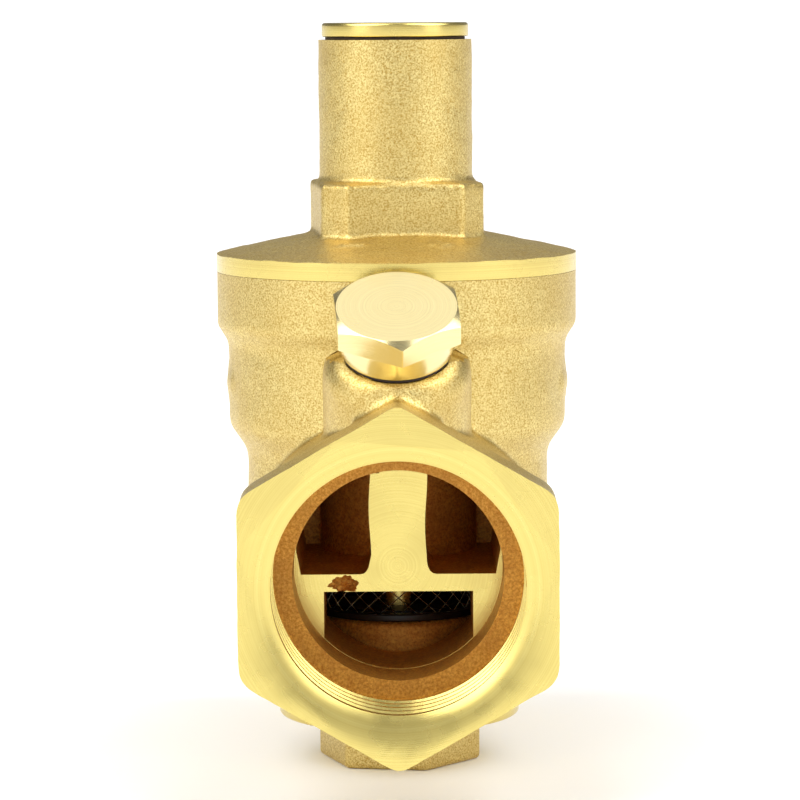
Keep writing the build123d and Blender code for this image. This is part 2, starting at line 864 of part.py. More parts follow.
def make_spring_button():
    """Upper spring seat under the adjusting screw."""
    return turned(
        [
            (0, button_z - button_spigot_length),
            (spring_guide_radius, button_z - button_spigot_length),
            (spring_guide_radius, button_z),
            (spring_radius, button_z),
            (spring_radius, adjuster_z),
            (0, adjuster_z),
        ],
        [0, edge_round, 0, fine_round, fine_round, 0],
    )


def make_adjuster_cap():
    """Polished closing cap with a coin slot and a short threaded spigot."""
    head = turned(
        [
            (0, cap_spigot_z),
            (neck_bore_radius - thread_clearance, cap_spigot_z),
            (neck_bore_radius - thread_clearance, cap_z),
            (cap_radius, cap_z),
            (cap_radius, cap_z + cap_thickness),
            (0, cap_z + cap_thickness),
        ],
        [0, edge_round, 0, fine_round, edge_round, 0],
    )
    slot = Box(2 * cap_radius * cap_slot_share, cap_slot_width, 2 * cap_slot_depth)
    return head - Pos(0, 0, cap_z + cap_thickness) * slot


def make_cap_gasket():
    """Thin washer between the cap and the neck."""
    return ring(cap_radius - cap_gasket_inset, neck_bore_radius + cap_gasket_gap, neck_top_z, cap_z)


def make_main_spring():
    """Spring that sets the outlet pressure."""
    low = plate_top_z + spring_clearance
    high = button_z - spring_clearance
    return coil(spring_radius, spring_wire, low, high, spring_turns)


def make_return_spring():
    """Light spring under the disc that helps the valve to close."""
    low = plug_cup_floor + spring_clearance
    high = disc_holder_z - spring_clearance
    return coil(return_spring_radius, return_spring_wire, low, high, return_spring_turns)


# ---- Gauge plug -----------------------------------------------------------------------------------------
def make_gauge_plug():
    """Hexagon-headed plug with a polished collar, in the gauge boss."""
    shank = turned(
        [
            (0, -gauge_thread_length),
            (gauge_thread_radius, -gauge_thread_length),
            (gauge_thread_radius, gauge_seal_thickness),
            (gauge_collar_radius, gauge_seal_thickness),
            (gauge_collar_radius, gauge_head_low + overshoot),
            (0, gauge_head_low + overshoot),
        ],
        [0, edge_round, 0, gauge_collar_round, 0, 0],
    )
    head = hexagon_with_cone_corners(
        gauge_hex_flats,
        gauge_head_low,
        gauge_head_low + gauge_hex_height,
        gauge_hex_turn,
        gauge_hex_chamfer,
        at_top=True,
    )
    return boss_plane * (shank + head)


def make_gauge_plug_seal():
    """Fibre washer under the gauge plug's collar."""
    inner = gauge_thread_radius + gauge_seal_gap
    return boss_plane * ring(inner + gauge_seal_width, inner, 0, gauge_seal_thickness)


# ---- Export -----------------------------------------------------------------------------------------------
def all_parts():
    """Every sub-part by its node name."""
    return {
        "body": make_body(),
        "bonnet": make_bonnet(),
        "adjuster_cap": make_adjuster_cap(),
        "cap_gasket": make_cap_gasket(),
        "adjusting_screw": make_adjusting_screw(),
        "spring_button": make_spring_button(),
        "main_spring": make_main_spring(),
        "stem_nut": make_stem_nut(),
        "lock_washer": make_lock_washer(),
        "diaphragm_plate": make_diaphragm_plate(),
        "slip_ring": make_slip_ring(),
        "diaphragm": make_diaphragm(),
        "backing_washer": make_backing_washer(),
        "stem": make_stem(),
        "stem_guide": make_stem_guide(),
        "seat_ring": make_seat_ring(),
        "disc_seal": make_disc_seal(),
        "disc_holder": make_disc_holder(),
        "disc_nut": make_disc_nut(),
        "return_spring": make_return_spring(),
        "strainer_screen": make_strainer_screen(),
        "strainer_top_ring": make_strainer_ring(strainer_top_z - strainer_ring_thickness),
        "strainer_bottom_ring": make_strainer_ring(plug_rim_z),
        "bottom_plug": make_bottom_plug(),
        "bottom_plug_o_ring": make_bottom_plug_o_ring(),
        "gauge_plug": make_gauge_plug(),
        "gauge_plug_seal": make_gauge_plug_seal(),
    }


os.makedirs("parts", exist_ok=True)
for node, shape in all_parts().items():
    export_step(shape, f"parts/{node}.step")
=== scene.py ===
"""Water pressure regulator: detailed brass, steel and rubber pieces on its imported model.

Pieces are shaped in millimetres, with +Z up the stem and +Y along the flow, and scaled to metres
when they are finished.
"""
import json
import math

import bmesh
import bpy
from mathutils import Matrix, Vector, noise


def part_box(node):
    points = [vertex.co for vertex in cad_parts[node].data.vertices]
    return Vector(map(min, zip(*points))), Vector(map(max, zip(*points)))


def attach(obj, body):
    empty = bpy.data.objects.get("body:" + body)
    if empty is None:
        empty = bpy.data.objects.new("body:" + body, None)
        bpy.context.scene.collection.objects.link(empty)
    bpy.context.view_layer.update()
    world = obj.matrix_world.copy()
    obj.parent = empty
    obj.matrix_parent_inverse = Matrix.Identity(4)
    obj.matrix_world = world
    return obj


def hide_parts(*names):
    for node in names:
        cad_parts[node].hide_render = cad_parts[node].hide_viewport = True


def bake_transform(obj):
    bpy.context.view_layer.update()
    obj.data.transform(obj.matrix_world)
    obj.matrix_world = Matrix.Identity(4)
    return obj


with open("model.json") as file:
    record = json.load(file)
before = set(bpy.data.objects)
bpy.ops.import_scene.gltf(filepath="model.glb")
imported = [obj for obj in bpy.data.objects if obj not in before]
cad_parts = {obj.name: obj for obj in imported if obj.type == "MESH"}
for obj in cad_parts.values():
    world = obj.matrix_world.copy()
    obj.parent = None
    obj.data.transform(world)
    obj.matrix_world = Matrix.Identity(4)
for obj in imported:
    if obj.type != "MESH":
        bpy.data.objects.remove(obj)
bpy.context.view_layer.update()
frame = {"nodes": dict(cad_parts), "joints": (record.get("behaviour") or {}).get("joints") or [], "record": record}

bl_info = {
    "name": "Water pressure regulator",
    "version": (1, 0, 0),
    "blender": (4, 5, 0),
    "location": "View3D > Sidebar > Regulator",
    "description": "Builds the pieces of a brass water pressure regulator on its packed model",
    "category": "Object",
}

MM = 0.001
FULL_TURN = 2 * math.pi
CORNER_STEPS = 6
ARC_STEPS = 16


def corners(node):
    """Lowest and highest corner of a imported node, in millimetres."""
    low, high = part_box(node)
    return low / MM, high / MM


def named(entries, name):
    """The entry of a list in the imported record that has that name."""
    return next(entry for entry in entries if entry["name"] == name)


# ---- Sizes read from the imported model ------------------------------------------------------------
body_low, body_high = corners("body")
bonnet_low, bonnet_high = corners("bonnet")
bottom_high = corners("bottom_plug")[1]
cap_low, cap_high = corners("adjuster_cap")
gasket_low, gasket_high = corners("cap_gasket")
screen_low, screen_high = corners("strainer_screen")
main_low, main_high = corners("main_spring")
return_low, return_high = corners("return_spring")
diaphragm_low, diaphragm_high = corners("diaphragm")
o_ring_low, o_ring_high = corners("bottom_plug_o_ring")
outlet = named(frame["record"]["mounts"], "outlet_thread")
gauge_turn = named(frame["joints"], "gauge_plug_turn")

port_face = body_high.y
port_z = outlet["pos_m"][2] / MM
crest_radius = outlet["dims"]["r_mm"]
rim_radius = bonnet_high.x
neck_top = bonnet_high.z
boss_centre = Vector(gauge_turn["pos_m"]) / MM
boss_axis = Vector(gauge_turn["axis"])

# ---- Body: radii and heights of the forging ------------------------------------------------------
hex_flats = 30.0
hex_length = 8.0
hex_side_round = 2.3
hex_tip_round = 1.0
port_neck_radius = 14.5
boss_radius = 12.33
barrel_radius = 15.24
waist_radius = 17.1
collar_radius = 18.3
boss_floor = 6.85
barrel_floor = 10.0
barrel_top = 32.4
waist_z = 35.0
ledge_z = 43.5
collar_z = 45.2
body_top = 50.5
gauge_boss_radius = 7.1
gauge_boss_length = 22.0
cut_margin = 2.0
softening_growth = 0.17
mark_height = 0.25

# ---- Ports and passages --------------------------------------------------------------------------
port_chamfer = 1.54
chamfer_depth = 0.95
thread_start = 1.9
thread_end = 9.2
throat_radius = 10.2
inlet_depth = 15.5
outlet_depth = 22.5
port_pitch = 1.814
ridge_height = 1.16
web_top = 22.0
web_bottom = 20.3
rib_width = 5.5
window_width = 14.6
pocket_end = 2.0
seat_tube_radius = 8.0
seat_bore = 5.8
chamber_radius = 9.6
gland_radius = 10.8
gland_top = 8.3
plug_thread_top = 12.1
guide_radius = 4.5
ceiling = 33.0
sensing_floor = 37.0
sensing_radius = 13.5
sensing_hole_radius = 1.25
socket_radius = 16.0
gauge_thread_radius = 4.85
gauge_hole_depth = 7.5
gauge_passage_radius = 1.1
fine_pitch = 1.0
gauge_pitch = 0.907
skin = 0.05

# ---- Bonnet and cap ------------------------------------------------------------------------------
cone_z = 52.2
wrench_z = 54.2
wrench_top = 59.5
cone_top_radius = 9.1
wrench_flats = 16.3
wrench_chamfer = 2.4
wrench_turn = 6.7
neck_radius = 7.68
neck_bore = 6.4
spigot_bore = 13.4
spring_room_floor = 50.3
cap_underside = 74.2
cap_slot_width = 1.6
cap_slot_depth = 0.7

# ---- Bottom plug, strainer and gauge plug --------------------------------------------------------
plug_hex_flats = 14.7
plug_hex_height = 4.85
plug_hex_turn = -10.0
plug_thread_radius = 10.0
plug_groove_radius = 9.4
plug_groove_top = 8.2
plug_rim_radius = 9.0
plug_cup_radius = 7.4
plug_cup_floor = 7.0
guide_hole_radius = 1.55
strainer_bore = 7.3
mesh_wire = 0.15
mesh_wires_each_way = 24
gauge_seal = 0.35
gauge_collar_radius = 5.4
gauge_head_low = 2.85
gauge_hex_height = 2.45
gauge_hex_flats = 11.7
gauge_hex_turn = 34.7
gauge_shank_length = 6.0

# ---- Springs and diaphragm -----------------------------------------------------------------------
main_spring_wire = 1.8
return_spring_wire = 0.8
diaphragm_thickness = 1.8

# ---- Lights and camera: focal length in millimetres, place in metres, angles in degrees ----------
camera_lens = 167.65
camera_place = (0.00027, -0.38, 0.07677)
camera_pitch = 5.963
camera_roll = -0.38
diffuser_spread = 56.0


def linear(code):
    """Scene-linear colour, with alpha, of an sRGB hex value."""
    channels = [int(code[start:start + 2], 16) / 255 for start in (1, 3, 5)]
    curve = [c / 12.92 if c <= 0.04045 else ((c + 0.055) / 1.055) ** 2.4 for c in channels]
    return (*curve, 1.0)


# ---- Sizes and colours that a user can change ----------------------------------------------------
class RegulatorSizes(bpy.types.PropertyGroup):
    """Sizes of the surface detail."""

    body_grid: bpy.props.FloatProperty(
        name="Body grid",
        description="Spacing of the grid on which the forged body is softened",
        default=0.00042,
        unit="LENGTH",
    )
    bonnet_grid: bpy.props.FloatProperty(
        name="Bonnet grid",
        description="Spacing of the grid on which the forged bonnet is softened",
        default=0.00028,
        unit="LENGTH",
    )
    forging_wave: bpy.props.FloatProperty(
        name="Forging wave",
        description="Depth of the slow waves in the forged skin",
        default=0.00006,
        unit="LENGTH",
    )
    blast_grain: bpy.props.FloatProperty(
        name="Blast grain",
        description="Size of the dimples that sand-blasting leaves",
        default=0.00017,
        unit="LENGTH",
    )
    turning_pitch: bpy.props.FloatProperty(
        name="Turning pitch",
        description="Spacing of the lathe lines on the machined faces",
        default=0.00016,
        unit="LENGTH",
    )


class RegulatorColours(bpy.types.PropertyGroup):
    """Colours of the finishes."""

    blasted_light: bpy.props.FloatVectorProperty(
        name="Blasted brass, light",
        description="Crests of the sand-blasted skin",
        subtype="COLOR",
        size=4,
        default=linear("#E6D491"),
    )
    blasted_dark: bpy.props.FloatVectorProperty(
        name="Blasted brass, dark",
        description="Dimples of the sand-blasted skin",
        subtype="COLOR",
        size=4,
        default=linear("#B19046"),
    )
    machined: bpy.props.FloatVectorProperty(
        name="Machined brass",
        description="Freshly cut faces",
        subtype="COLOR",
        size=4,
        default=linear("#E2D07F"),
    )
    # Brown of the raw skin inside the ports: partly the skin's own tone and partly painted shade of the hollows.
    raw_brown_and_painted_shade: bpy.props.FloatVectorProperty(
        name="Raw casting",
        description="Oxidised skin inside the ports",
        subtype="COLOR",
        size=4,
        default=linear("#EFB552"),
    )


# ---- Node helpers --------------------------------------------------------------------------------
def pattern_scale(size):
    """Scale of a pattern whose features have that size in millimetres."""
    return 1 / (size * MM)


def add_node(tree, kind, inputs=None, **settings):
    """Adds a node, sets its properties, and gives each named input a value or a link."""
    node = tree.nodes.new(kind)
    for key, value in settings.items():
        setattr(node, key, value)
    for key, value in (inputs or {}).items():
        socket = node.inputs[key]
        if isinstance(value, bpy.types.NodeSocket):
            tree.links.new(value, socket)
        else:
            socket.default_value = value
    return node


def start_material(name):
    """A new material with an empty tree, and the object coordinates that its patterns read."""
    material = bpy.data.materials.new(name)
    material.use_nodes = True
    tree = material.node_tree
    tree.nodes.clear()
    return material, tree, add_node(tree, "ShaderNodeTexCoord").outputs["Object"]


def join_shader(tree, inputs):
    """Adds the Principled shader with its inputs and joins it to the material's output."""
    shader = add_node(tree, "ShaderNodeBsdfPrincipled", inputs)
    add_node(tree, "ShaderNodeOutputMaterial", {"Surface": shader.outputs[0]})


def join_metal(tree, colour, gloss, bump):
    """Joins a bare metal's colour, gloss and relief nodes to its shader."""
    join_shader(
        tree,
        {
            "Base Color": colour.outputs[2],
            "Metallic": 1.0,
            "Roughness": gloss.outputs[0],
            "Normal": bump.outputs[0],
        },
    )


def forged_brass():
    """Forged brass, sand-blasted: fine dimples that sparkle, over slow patches of warmer tone.

    Grit leaves dimples of about 0.1 mm; they are drawn at the size's default so that they show.
    """
    sizes = bpy.context.scene.regulator_sizes
    colours = bpy.context.scene.regulator_colours
    material, tree, place = start_material("brass_forged_sand_blasted")
    warm_patch = pattern_scale(6.25)
    grain = add_node(
        tree,
        "ShaderNodeTexNoise",
        {"Vector": place, "Scale": 1 / sizes.blast_grain, "Detail": 2.0, "Roughness": 0.65},
    )
    pits = add_node(
        tree,
        "ShaderNodeTexNoise",
        {"Vector": place, "Scale": 0.45 / sizes.blast_grain, "Detail": 3.0, "Roughness": 0.7},
    )
    patches = add_node(
        tree, "ShaderNodeTexNoise", {"Vector": place, "Scale": warm_patch, "Detail": 4.0, "Roughness": 0.6}
    )
    crest = add_node(
        tree,
        "ShaderNodeMapRange",
        {"Value": grain.outputs[0], "From Min": 0.34, "From Max": 0.62},
    )
    tone = add_node(
        tree,
        "ShaderNodeMix",
        {0: crest.outputs[0], 6: colours.blasted_dark, 7: colours.blasted_light},
        data_type="RGBA",
    )
    patch = add_node(
        tree,
        "ShaderNodeMapRange",
        {"Value": patches.outputs[0], "From Min": 0.35, "From Max": 0.7, "To Max": 0.35},
    )
    warm = add_node(
        tree,
        "ShaderNodeMix",
        {0: patch.outputs[0], 6: tone.outputs[2], 7: linear("#C4A152")},
        data_type="RGBA",
    )
    gloss = add_node(
        tree,
        "ShaderNodeMapRange",
        {"Value": pits.outputs[0], "From Min": 0.3, "From Max": 0.7, "To Min": 0.34, "To Max": 0.52},
    )
    height = add_node(
        tree, "ShaderNodeMath", {0: grain.outputs[0], 1: pits.outputs[0]}, operation="ADD"
    )
    bump = add_node(
        tree, "ShaderNodeBump", {"Height": height.outputs[0], "Strength": 0.55, "Distance": 0.00006}
    )
    join_metal(tree, warm, gloss, bump)
    return material


def turned_finish(name, light, dark, roughness, centre, axis, depth):
    """Brass turned on a lathe: fine rings about an axis, each a slightly different tone.

    The tool's feed leaves a line every 0.08 mm or so; they are drawn twice as coarse to show.
    """
    sizes = bpy.context.scene.regulator_sizes
    material, tree, place = start_material(name)
    upright = Vector(axis).rotation_difference(Vector((0, 0, 1))).to_matrix()
    aligned = add_node(
        tree,
        "ShaderNodeMapping",
        {
            "Vector": place,
            "Location": upright @ (-Vector(centre) * MM),
            "Rotation": upright.to_euler(),
        },
    )
    flat = add_node(
        tree,
        "ShaderNodeVectorMath",
        {0: aligned.outputs[0], 1: (1.0, 1.0, 0.0)},
        operation="MULTIPLY",
    )
    radius = add_node(tree, "ShaderNodeVectorMath", {0: flat.outputs[0]}, operation="LENGTH")
    along = add_node(tree, "ShaderNodeSeparateXYZ", {0: aligned.outputs[0]})
    ring = add_node(
        tree, "ShaderNodeMath", {0: radius.outputs["Value"], 1: along.outputs["Z"]}, operation="ADD"
    )
    rings = add_node(
        tree,
        "ShaderNodeTexNoise",
        {"W": ring.outputs[0], "Scale": 1 / sizes.turning_pitch, "Detail": 3.0, "Roughness": 0.6},
        noise_dimensions="1D",
    )
    smear = add_node(
        tree,
        "ShaderNodeTexNoise",
        {"Vector": place, "Scale": pattern_scale(4.167), "Detail": 3.0, "Roughness": 0.6},
    )
    tone = add_node(
        tree,
        "ShaderNodeMapRange",
        {"Value": rings.outputs[0], "From Min": 0.25, "From Max": 0.75, "To Max": 0.5},
    )
    colour = add_node(
        tree, "ShaderNodeMix", {0: tone.outputs[0], 6: light, 7: dark}, data_type="RGBA"
    )
    gloss = add_node(
        tree,
        "ShaderNodeMapRange",
        {
            "Value": smear.outputs[0],
            "From Min": 0.3,
            "From Max": 0.7,
            "To Min": roughness - 0.05,
            "To Max": roughness + 0.07,
        },
    )
    bump = add_node(
        tree, "ShaderNodeBump", {"Height": rings.outputs[0], "Strength": 0.5, "Distance": depth * MM}
    )
    join_metal(tree, colour, gloss, bump)
    return material


def port_brass():
    """Brass faced and bored on a lathe: pale, bright, with fine rings about the port."""
    return turned_finish(
        "brass_machined_about_port",
        bpy.context.scene.regulator_colours.machined,
        linear("#CDB45C"),
        0.27,
        (0, 0, port_z),
        (0, 1, 0),
        0.012,
    )


def stem_line_brass():
    """Brass turned about the stem's axis: pale and bright, with fine level rings."""
    return turned_finish(
        "brass_turned_about_stem",
        bpy.context.scene.regulator_colours.machined,
        linear("#C8A856"),
        0.24,
        (0, 0, 0),
        (0, 0, 1),
        0.008,
    )


def gauge_line_brass():
    """Brass turned about the gauge plug's axis, then polished: soft rings on a mirror."""
    return turned_finish(
        "brass_polished_about_gauge_plug",
        linear("#F6E7AE"),
        linear("#E2CB8C"),
        0.22,
        boss_centre,
        boss_axis,
        0.006,
    )


def raw_brass_and_painted_shade():
    """Brass as cast and never cleaned, over a sand grain of 0.28 mm, with wide stains; its brown is partly the raw
    skin's own tone and partly painted shade of the hollows it lines.
    """
    material, tree, place = start_material("brass_raw_skin_and_painted_shade")
    grain = add_node(
        tree,
        "ShaderNodeTexNoise",
        {"Vector": place, "Scale": pattern_scale(0.27778), "Detail": 3.0, "Roughness": 0.7},
    )
    stain = add_node(
        tree,
        "ShaderNodeTexNoise",
        {"Vector": place, "Scale": pattern_scale(4.762), "Detail": 4.0, "Roughness": 0.6},
    )
    speck = add_node(
        tree,
        "ShaderNodeMapRange",
        {"Value": grain.outputs[0], "From Min": 0.36, "From Max": 0.66},
    )
    tone = add_node(
        tree,
        "ShaderNodeMix",
        {
            0: speck.outputs[0],
            6: linear("#BE7A28"),
            7: bpy.context.scene.regulator_colours.raw_brown_and_painted_shade,
        },
        data_type="RGBA",
    )
    patch = add_node(
        tree,
        "ShaderNodeMapRange",
        {"Value": stain.outputs[0], "From Min": 0.35, "From Max": 0.7, "To Max": 0.5},
    )
    colour = add_node(
        tree,
        "ShaderNodeMix",
        {0: patch.outputs[0], 6: tone.outputs[2], 7: linear("#A9712C")},
        data_type="RGBA",
    )
    bump = add_node(
        tree, "ShaderNodeBump", {"Height": grain.outputs[0], "Strength": 0.6, "Distance": 0.00008}
    )
    join_shader(
        tree,
        {
            "Base Color": colour.outputs[2],
            "Metallic": 0.6,
            "Roughness": 0.55,
            "Normal": bump.outputs[0],
        },
    )
    return material


def steel_finish(name, light, dark, roughness, streak):
    """Steel with drawn or turned streaks, of a size in millimetres, that vary its tone and gloss."""
    material, tree, place = start_material(name)
    streaks = add_node(
        tree,
        "ShaderNodeTexNoise",
        {"Vector": place, "Scale": pattern_scale(streak), "Detail": 3.0, "Roughness": 0.6},
    )
    colour = add_node(
        tree, "ShaderNodeMix", {0: streaks.outputs[0], 6: light, 7: dark}, data_type="RGBA"
    )
    gloss = add_node(
        tree,
        "ShaderNodeMapRange",
        {
            "Value": streaks.outputs[0],
            "From Min": 0.3,
            "From Max": 0.7,
            "To Min": roughness - 0.06,
            "To Max": roughness + 0.08,
        },
    )
    bump = add_node(
        tree, "ShaderNodeBump", {"Height": streaks.outputs[0], "Strength": 0.3, "Distance": 0.00002}
    )
    join_metal(tree, colour, gloss, bump)
    return material


def stainless():
    """Stainless steel, turned: neutral grey with a soft sheen."""
    return steel_finish("stainless_steel_turned", linear("#C9C8C4"), linear("#9C9B98"), 0.3, 1.111)


def spring_wire():
    """Carbon spring steel, drawn and lightly oiled: dark grey and glossy."""
    return steel_finish("spring_steel_drawn", linear("#8E8D8B"), linear("#5E5D5C"), 0.28, 0.7143)


def screen_wire_and_painted_light():
    """Stainless wire, woven: near white, paler than the steel itself, which is painted light that makes the wires
    look lit inside the dim chamber.
    """
    return steel_finish("stainless_wire_and_painted_light", linear("#FFFAEC"), linear("#E2D8C0"), 0.4, 0.5556)


def dull_finish(name, light, dark, roughness, grain_size, depth):
    """A matt moulded or stamped material: two close tones and a faint grain, sized in millimetres."""
    material, tree, place = start_material(name)
    grain = add_node(
        tree,
        "ShaderNodeTexNoise",
        {"Vector": place, "Scale": pattern_scale(grain_size), "Detail": 3.0, "Roughness": 0.6},
    )
    colour = add_node(
        tree, "ShaderNodeMix", {0: grain.outputs[0], 6: dark, 7: light}, data_type="RGBA"
    )
    bump = add_node(
        tree, "ShaderNodeBump", {"Height": grain.outputs[0], "Strength": 0.4, "Distance": depth * MM}
    )
    join_shader(
        tree,
        {"Base Color": colour.outputs[2], "Roughness": roughness, "Normal": bump.outputs[0]},
    )
    return material


def nitrile_rubber():
    """Nitrile rubber, moulded: near black with a faint satin grain."""
    light, dark = linear("#2B2A29"), linear("#161514")
    return dull_finish("rubber_nitrile_moulded", light, dark, 0.5, 0.6667, 0.02)


def black_nylon():
    """Nylon, moulded: black with a soft shine."""
    light, dark = linear("#1F1B17"), linear("#0E0C0A")
    return dull_finish("nylon_black_moulded", light, dark, 0.42, 0.9091, 0.015)


def pressed_fibre():
    """Vulcanised fibre, stamped: dark brown and matt, with a felted grain."""
    light, dark = linear("#43342A"), linear("#1F1712")
    return dull_finish("fibre_vulcanised_stamped", light, dark, 0.75, 0.3846, 0.03)


def floor_paper():
    """Matt white backdrop paper: pale, with a barely visible tone."""
    return dull_finish("paper_white_matt", linear("#FFFFFF"), linear("#FBFBFB"), 0.9, 83.33, 0.01)


FINISHES = {
    "forged": forged_brass,
    "port": port_brass,
    "turned": stem_line_brass,
    "gauge": gauge_line_brass,
    "raw": raw_brass_and_painted_shade,
    "stainless": stainless,
    "spring": spring_wire,
    "screen": screen_wire_and_painted_light,
    "rubber": nitrile_rubber,
    "nylon": black_nylon,
    "fibre": pressed_fibre,
    "floor": floor_paper,
}
made_finishes = {}


def finish(name):
    """The material of that finish, made once."""
    if name not in made_finishes:
        made_finishes[name] = FINISHES[name]()
    return made_finishes[name]


# ---- Shape helpers, all in millimetres -----------------------------------------------------------
def rounded(outline):
    """Closed outline whose corners with a third number are turned into arcs of that radius."""
    points = []
    for here, corner in enumerate(outline):
        point = Vector(corner[:2])
        radius = corner[2] if len(corner) > 2 else 0
        if radius == 0:
            points.append(point)
            continue
        back = (Vector(outline[here - 1][:2]) - point).normalized()
        ahead = (Vector(outline[(here + 1) % len(outline)][:2]) - point).normalized()
        half = back.angle(ahead) / 2
        centre = point + (back + ahead).normalized() * (radius / math.sin(half))
        start = point + back * (radius / math.tan(half)) - centre
        end = point + ahead * (radius / math.tan(half)) - centre
        sweep = start.angle_signed(end)
        for step in range(CORNER_STEPS + 1):
            turn = Matrix.Rotation(-sweep * step / CORNER_STEPS, 2)
            points.append(centre + turn @ start)
    return points


def turned(outline, steps=96):
    """Solid turned about Z from a closed outline of (radius, height)."""
    shape = bmesh.new()
    ring = [shape.verts.new((point[0], 0, point[1])) for point in rounded(outline)]
    edges = [
        shape.edges.new((ring[i], ring[(i + 1) % len(ring)]))
        for i in range(len(ring))
        if max(ring[i].co.x, ring[(i + 1) % len(ring)].co.x) > 0
    ]
    bmesh.ops.spin(
        shape,
        geom=ring + edges,
        cent=(0, 0, 0),
        axis=(0, 0, 1),
        angle=FULL_TURN,
        steps=steps,
        use_merge=True,
    )
    bmesh.ops.remove_doubles(shape, verts=shape.verts, dist=1e-4)
    bmesh.ops.recalc_face_normals(shape, faces=shape.faces)
    return shape


def rod(radius, low, high, steps=96):
    """Plain cylinder about Z."""
    return turned([(0, low), (radius, low), (radius, high), (0, high)], steps)


def flat_ring(inner, outer, low, high, inner_round, outer_round, steps=96):
    """Flat ring about Z with its edges rounded."""
    section = [
        (inner, low, inner_round),
        (outer, low, outer_round),
        (outer, high, outer_round),
        (inner, high, inner_round),
    ]
    return turned(section, steps)


def prism(outline, low, high):
    """Solid extruded up Z from a closed outline of (x, y)."""
    shape = bmesh.new()
    face = shape.faces.new([shape.verts.new((point[0], point[1], low)) for point in rounded(outline)])
    top = bmesh.ops.extrude_face_region(shape, geom=[face])
    raised = [item for item in top["geom"] if isinstance(item, bmesh.types.BMVert)]
    bmesh.ops.translate(shape, vec=(0, 0, high - low), verts=raised)
    bmesh.ops.recalc_face_normals(shape, faces=shape.faces)
    return shape


def polygon(sides, flats, turn, rounds):
    """Regular outline by its width across flats; rounds holds one radius for each corner in turn."""
    tip = flats / 2 / math.cos(math.pi / sides)
    outline = []
    for side in range(sides):
        angle = FULL_TURN * side / sides + math.radians(turn)
        outline.append((tip * math.cos(angle), tip * math.sin(angle), rounds[side % len(rounds)]))
    return outline


def helix(base_radius, tip_radius, pitch, low, high, steps=40, filled=0.9):
    """Ridge of triangular section that winds up Z, for cutting a thread."""
    half = pitch * filled / 2
    turns = (high - low) / pitch
    shape = bmesh.new()
    section = [
        shape.verts.new((base_radius, 0, low - half)),
        shape.verts.new((tip_radius, 0, low)),
        shape.verts.new((base_radius, 0, low + half)),
    ]
    shape.faces.new(section)
    count = round(turns * steps)
    wound = bmesh.ops.spin(
        shape,
        geom=section + list(shape.edges),
        cent=(0, 0, 0),
        axis=(0, 0, 1),
        dvec=(0, 0, (high - low) / count),
        angle=FULL_TURN * turns,
        steps=count,
    )
    last = [item for item in wound["geom_last"] if isinstance(item, bmesh.types.BMVert)]
    shape.faces.new(last)
    bmesh.ops.recalc_face_normals(shape, faces=shape.faces)
    return shape


def block(low, high):
    """Box between two corners."""
    shape = bmesh.new()
    size = Vector(high) - Vector(low)
    matrix = Matrix.Translation((Vector(low) + Vector(high)) / 2) @ Matrix.Diagonal((*size, 1))
    bmesh.ops.create_cube(shape, size=1, matrix=matrix)
    return shape


def placed(shape, matrix):
    """The shape, moved by a matrix."""
    bmesh.ops.transform(shape, matrix=matrix, verts=shape.verts)
    return shape


def mixed(shapes):
    """One mesh that holds several shapes, which may pass through each other."""
    whole = bmesh.new()
    for shape in shapes:
        part = bpy.data.meshes.new("part")
        shape.to_mesh(part)
        shape.free()
        whole.from_mesh(part)
        bpy.data.meshes.remove(part)
    return whole


def make_object(name, shape, finishes):
    """Object of a shape whose faces' material indices follow the list of finishes."""
    mesh = bpy.data.meshes.new(name)
    shape.to_mesh(mesh)
    shape.free()
    for entry in finishes:
        mesh.materials.append(finish(entry))
    piece = bpy.data.objects.new(name, mesh)
    bpy.context.scene.collection.objects.link(piece)
    return piece


def settle(piece):
    """Replaces a piece's mesh by the one its modifiers make."""
    evaluated = piece.evaluated_get(bpy.context.evaluated_depsgraph_get())
    mesh = bpy.data.meshes.new_from_object(evaluated)
    old = piece.data
    piece.modifiers.clear()
    piece.data = mesh
    bpy.data.meshes.remove(old)


def combine(piece, tool, operation):
    """Cuts, joins or intersects a piece with a tool whose finishes come along; the tool goes."""
    change = piece.modifiers.new("combine", "BOOLEAN")
    change.operation = operation
    change.solver = "EXACT"
    change.material_mode = "TRANSFER"
    change.object = tool
    settle(piece)
    bpy.data.objects.remove(tool)


def apply_shape(piece, operation, shape, *finishes):
    """Combines a piece with a shape that has those finishes."""
    combine(piece, make_object("tool", shape, finishes), operation)


def shape_of(piece):
    """The shape of a piece, which is dropped."""
    shape = bmesh.new()
    shape.from_mesh(piece.data)
    bpy.data.objects.remove(piece)
    return shape


def soften(piece, grid, passes, widest):
    """Joins the shapes of a piece on a fine grid and smooths its edges as a forging's are."""
    remesh = piece.modifiers.new("grid", "REMESH")
    remesh.mode = "VOXEL"
    remesh.voxel_size = grid / MM
    settle(piece)
    shape = bmesh.new()
    shape.from_mesh(piece.data)
    for _ in range(passes):
        bmesh.ops.smooth_vert(
            shape, verts=shape.verts, factor=0.5, use_axis_x=True, use_axis_y=True, use_axis_z=True
        )
    shape.normal_update()
    depth = bpy.context.scene.regulator_sizes.forging_wave / MM
    for vertex in shape.verts:
        wave = noise.noise(vertex.co * 0.35) + 0.5 * noise.noise(vertex.co * 1.1)
        vertex.co += vertex.normal * (softening_growth - depth * (1 + wave))
        across = vertex.co.xy.length
        if vertex.co.z > ledge_z and across > widest:
            vertex.co.xy *= widest / across
    shape.to_mesh(piece.data)
    shape.free()


def shade(piece, sharp=38.0):
    """Scales a piece to metres and shades it smooth except at sharp edges."""
    piece.data.transform(Matrix.Scale(MM, 4))
    piece.data.shade_smooth()
    piece.data.set_sharp_from_angle(angle=math.radians(sharp))


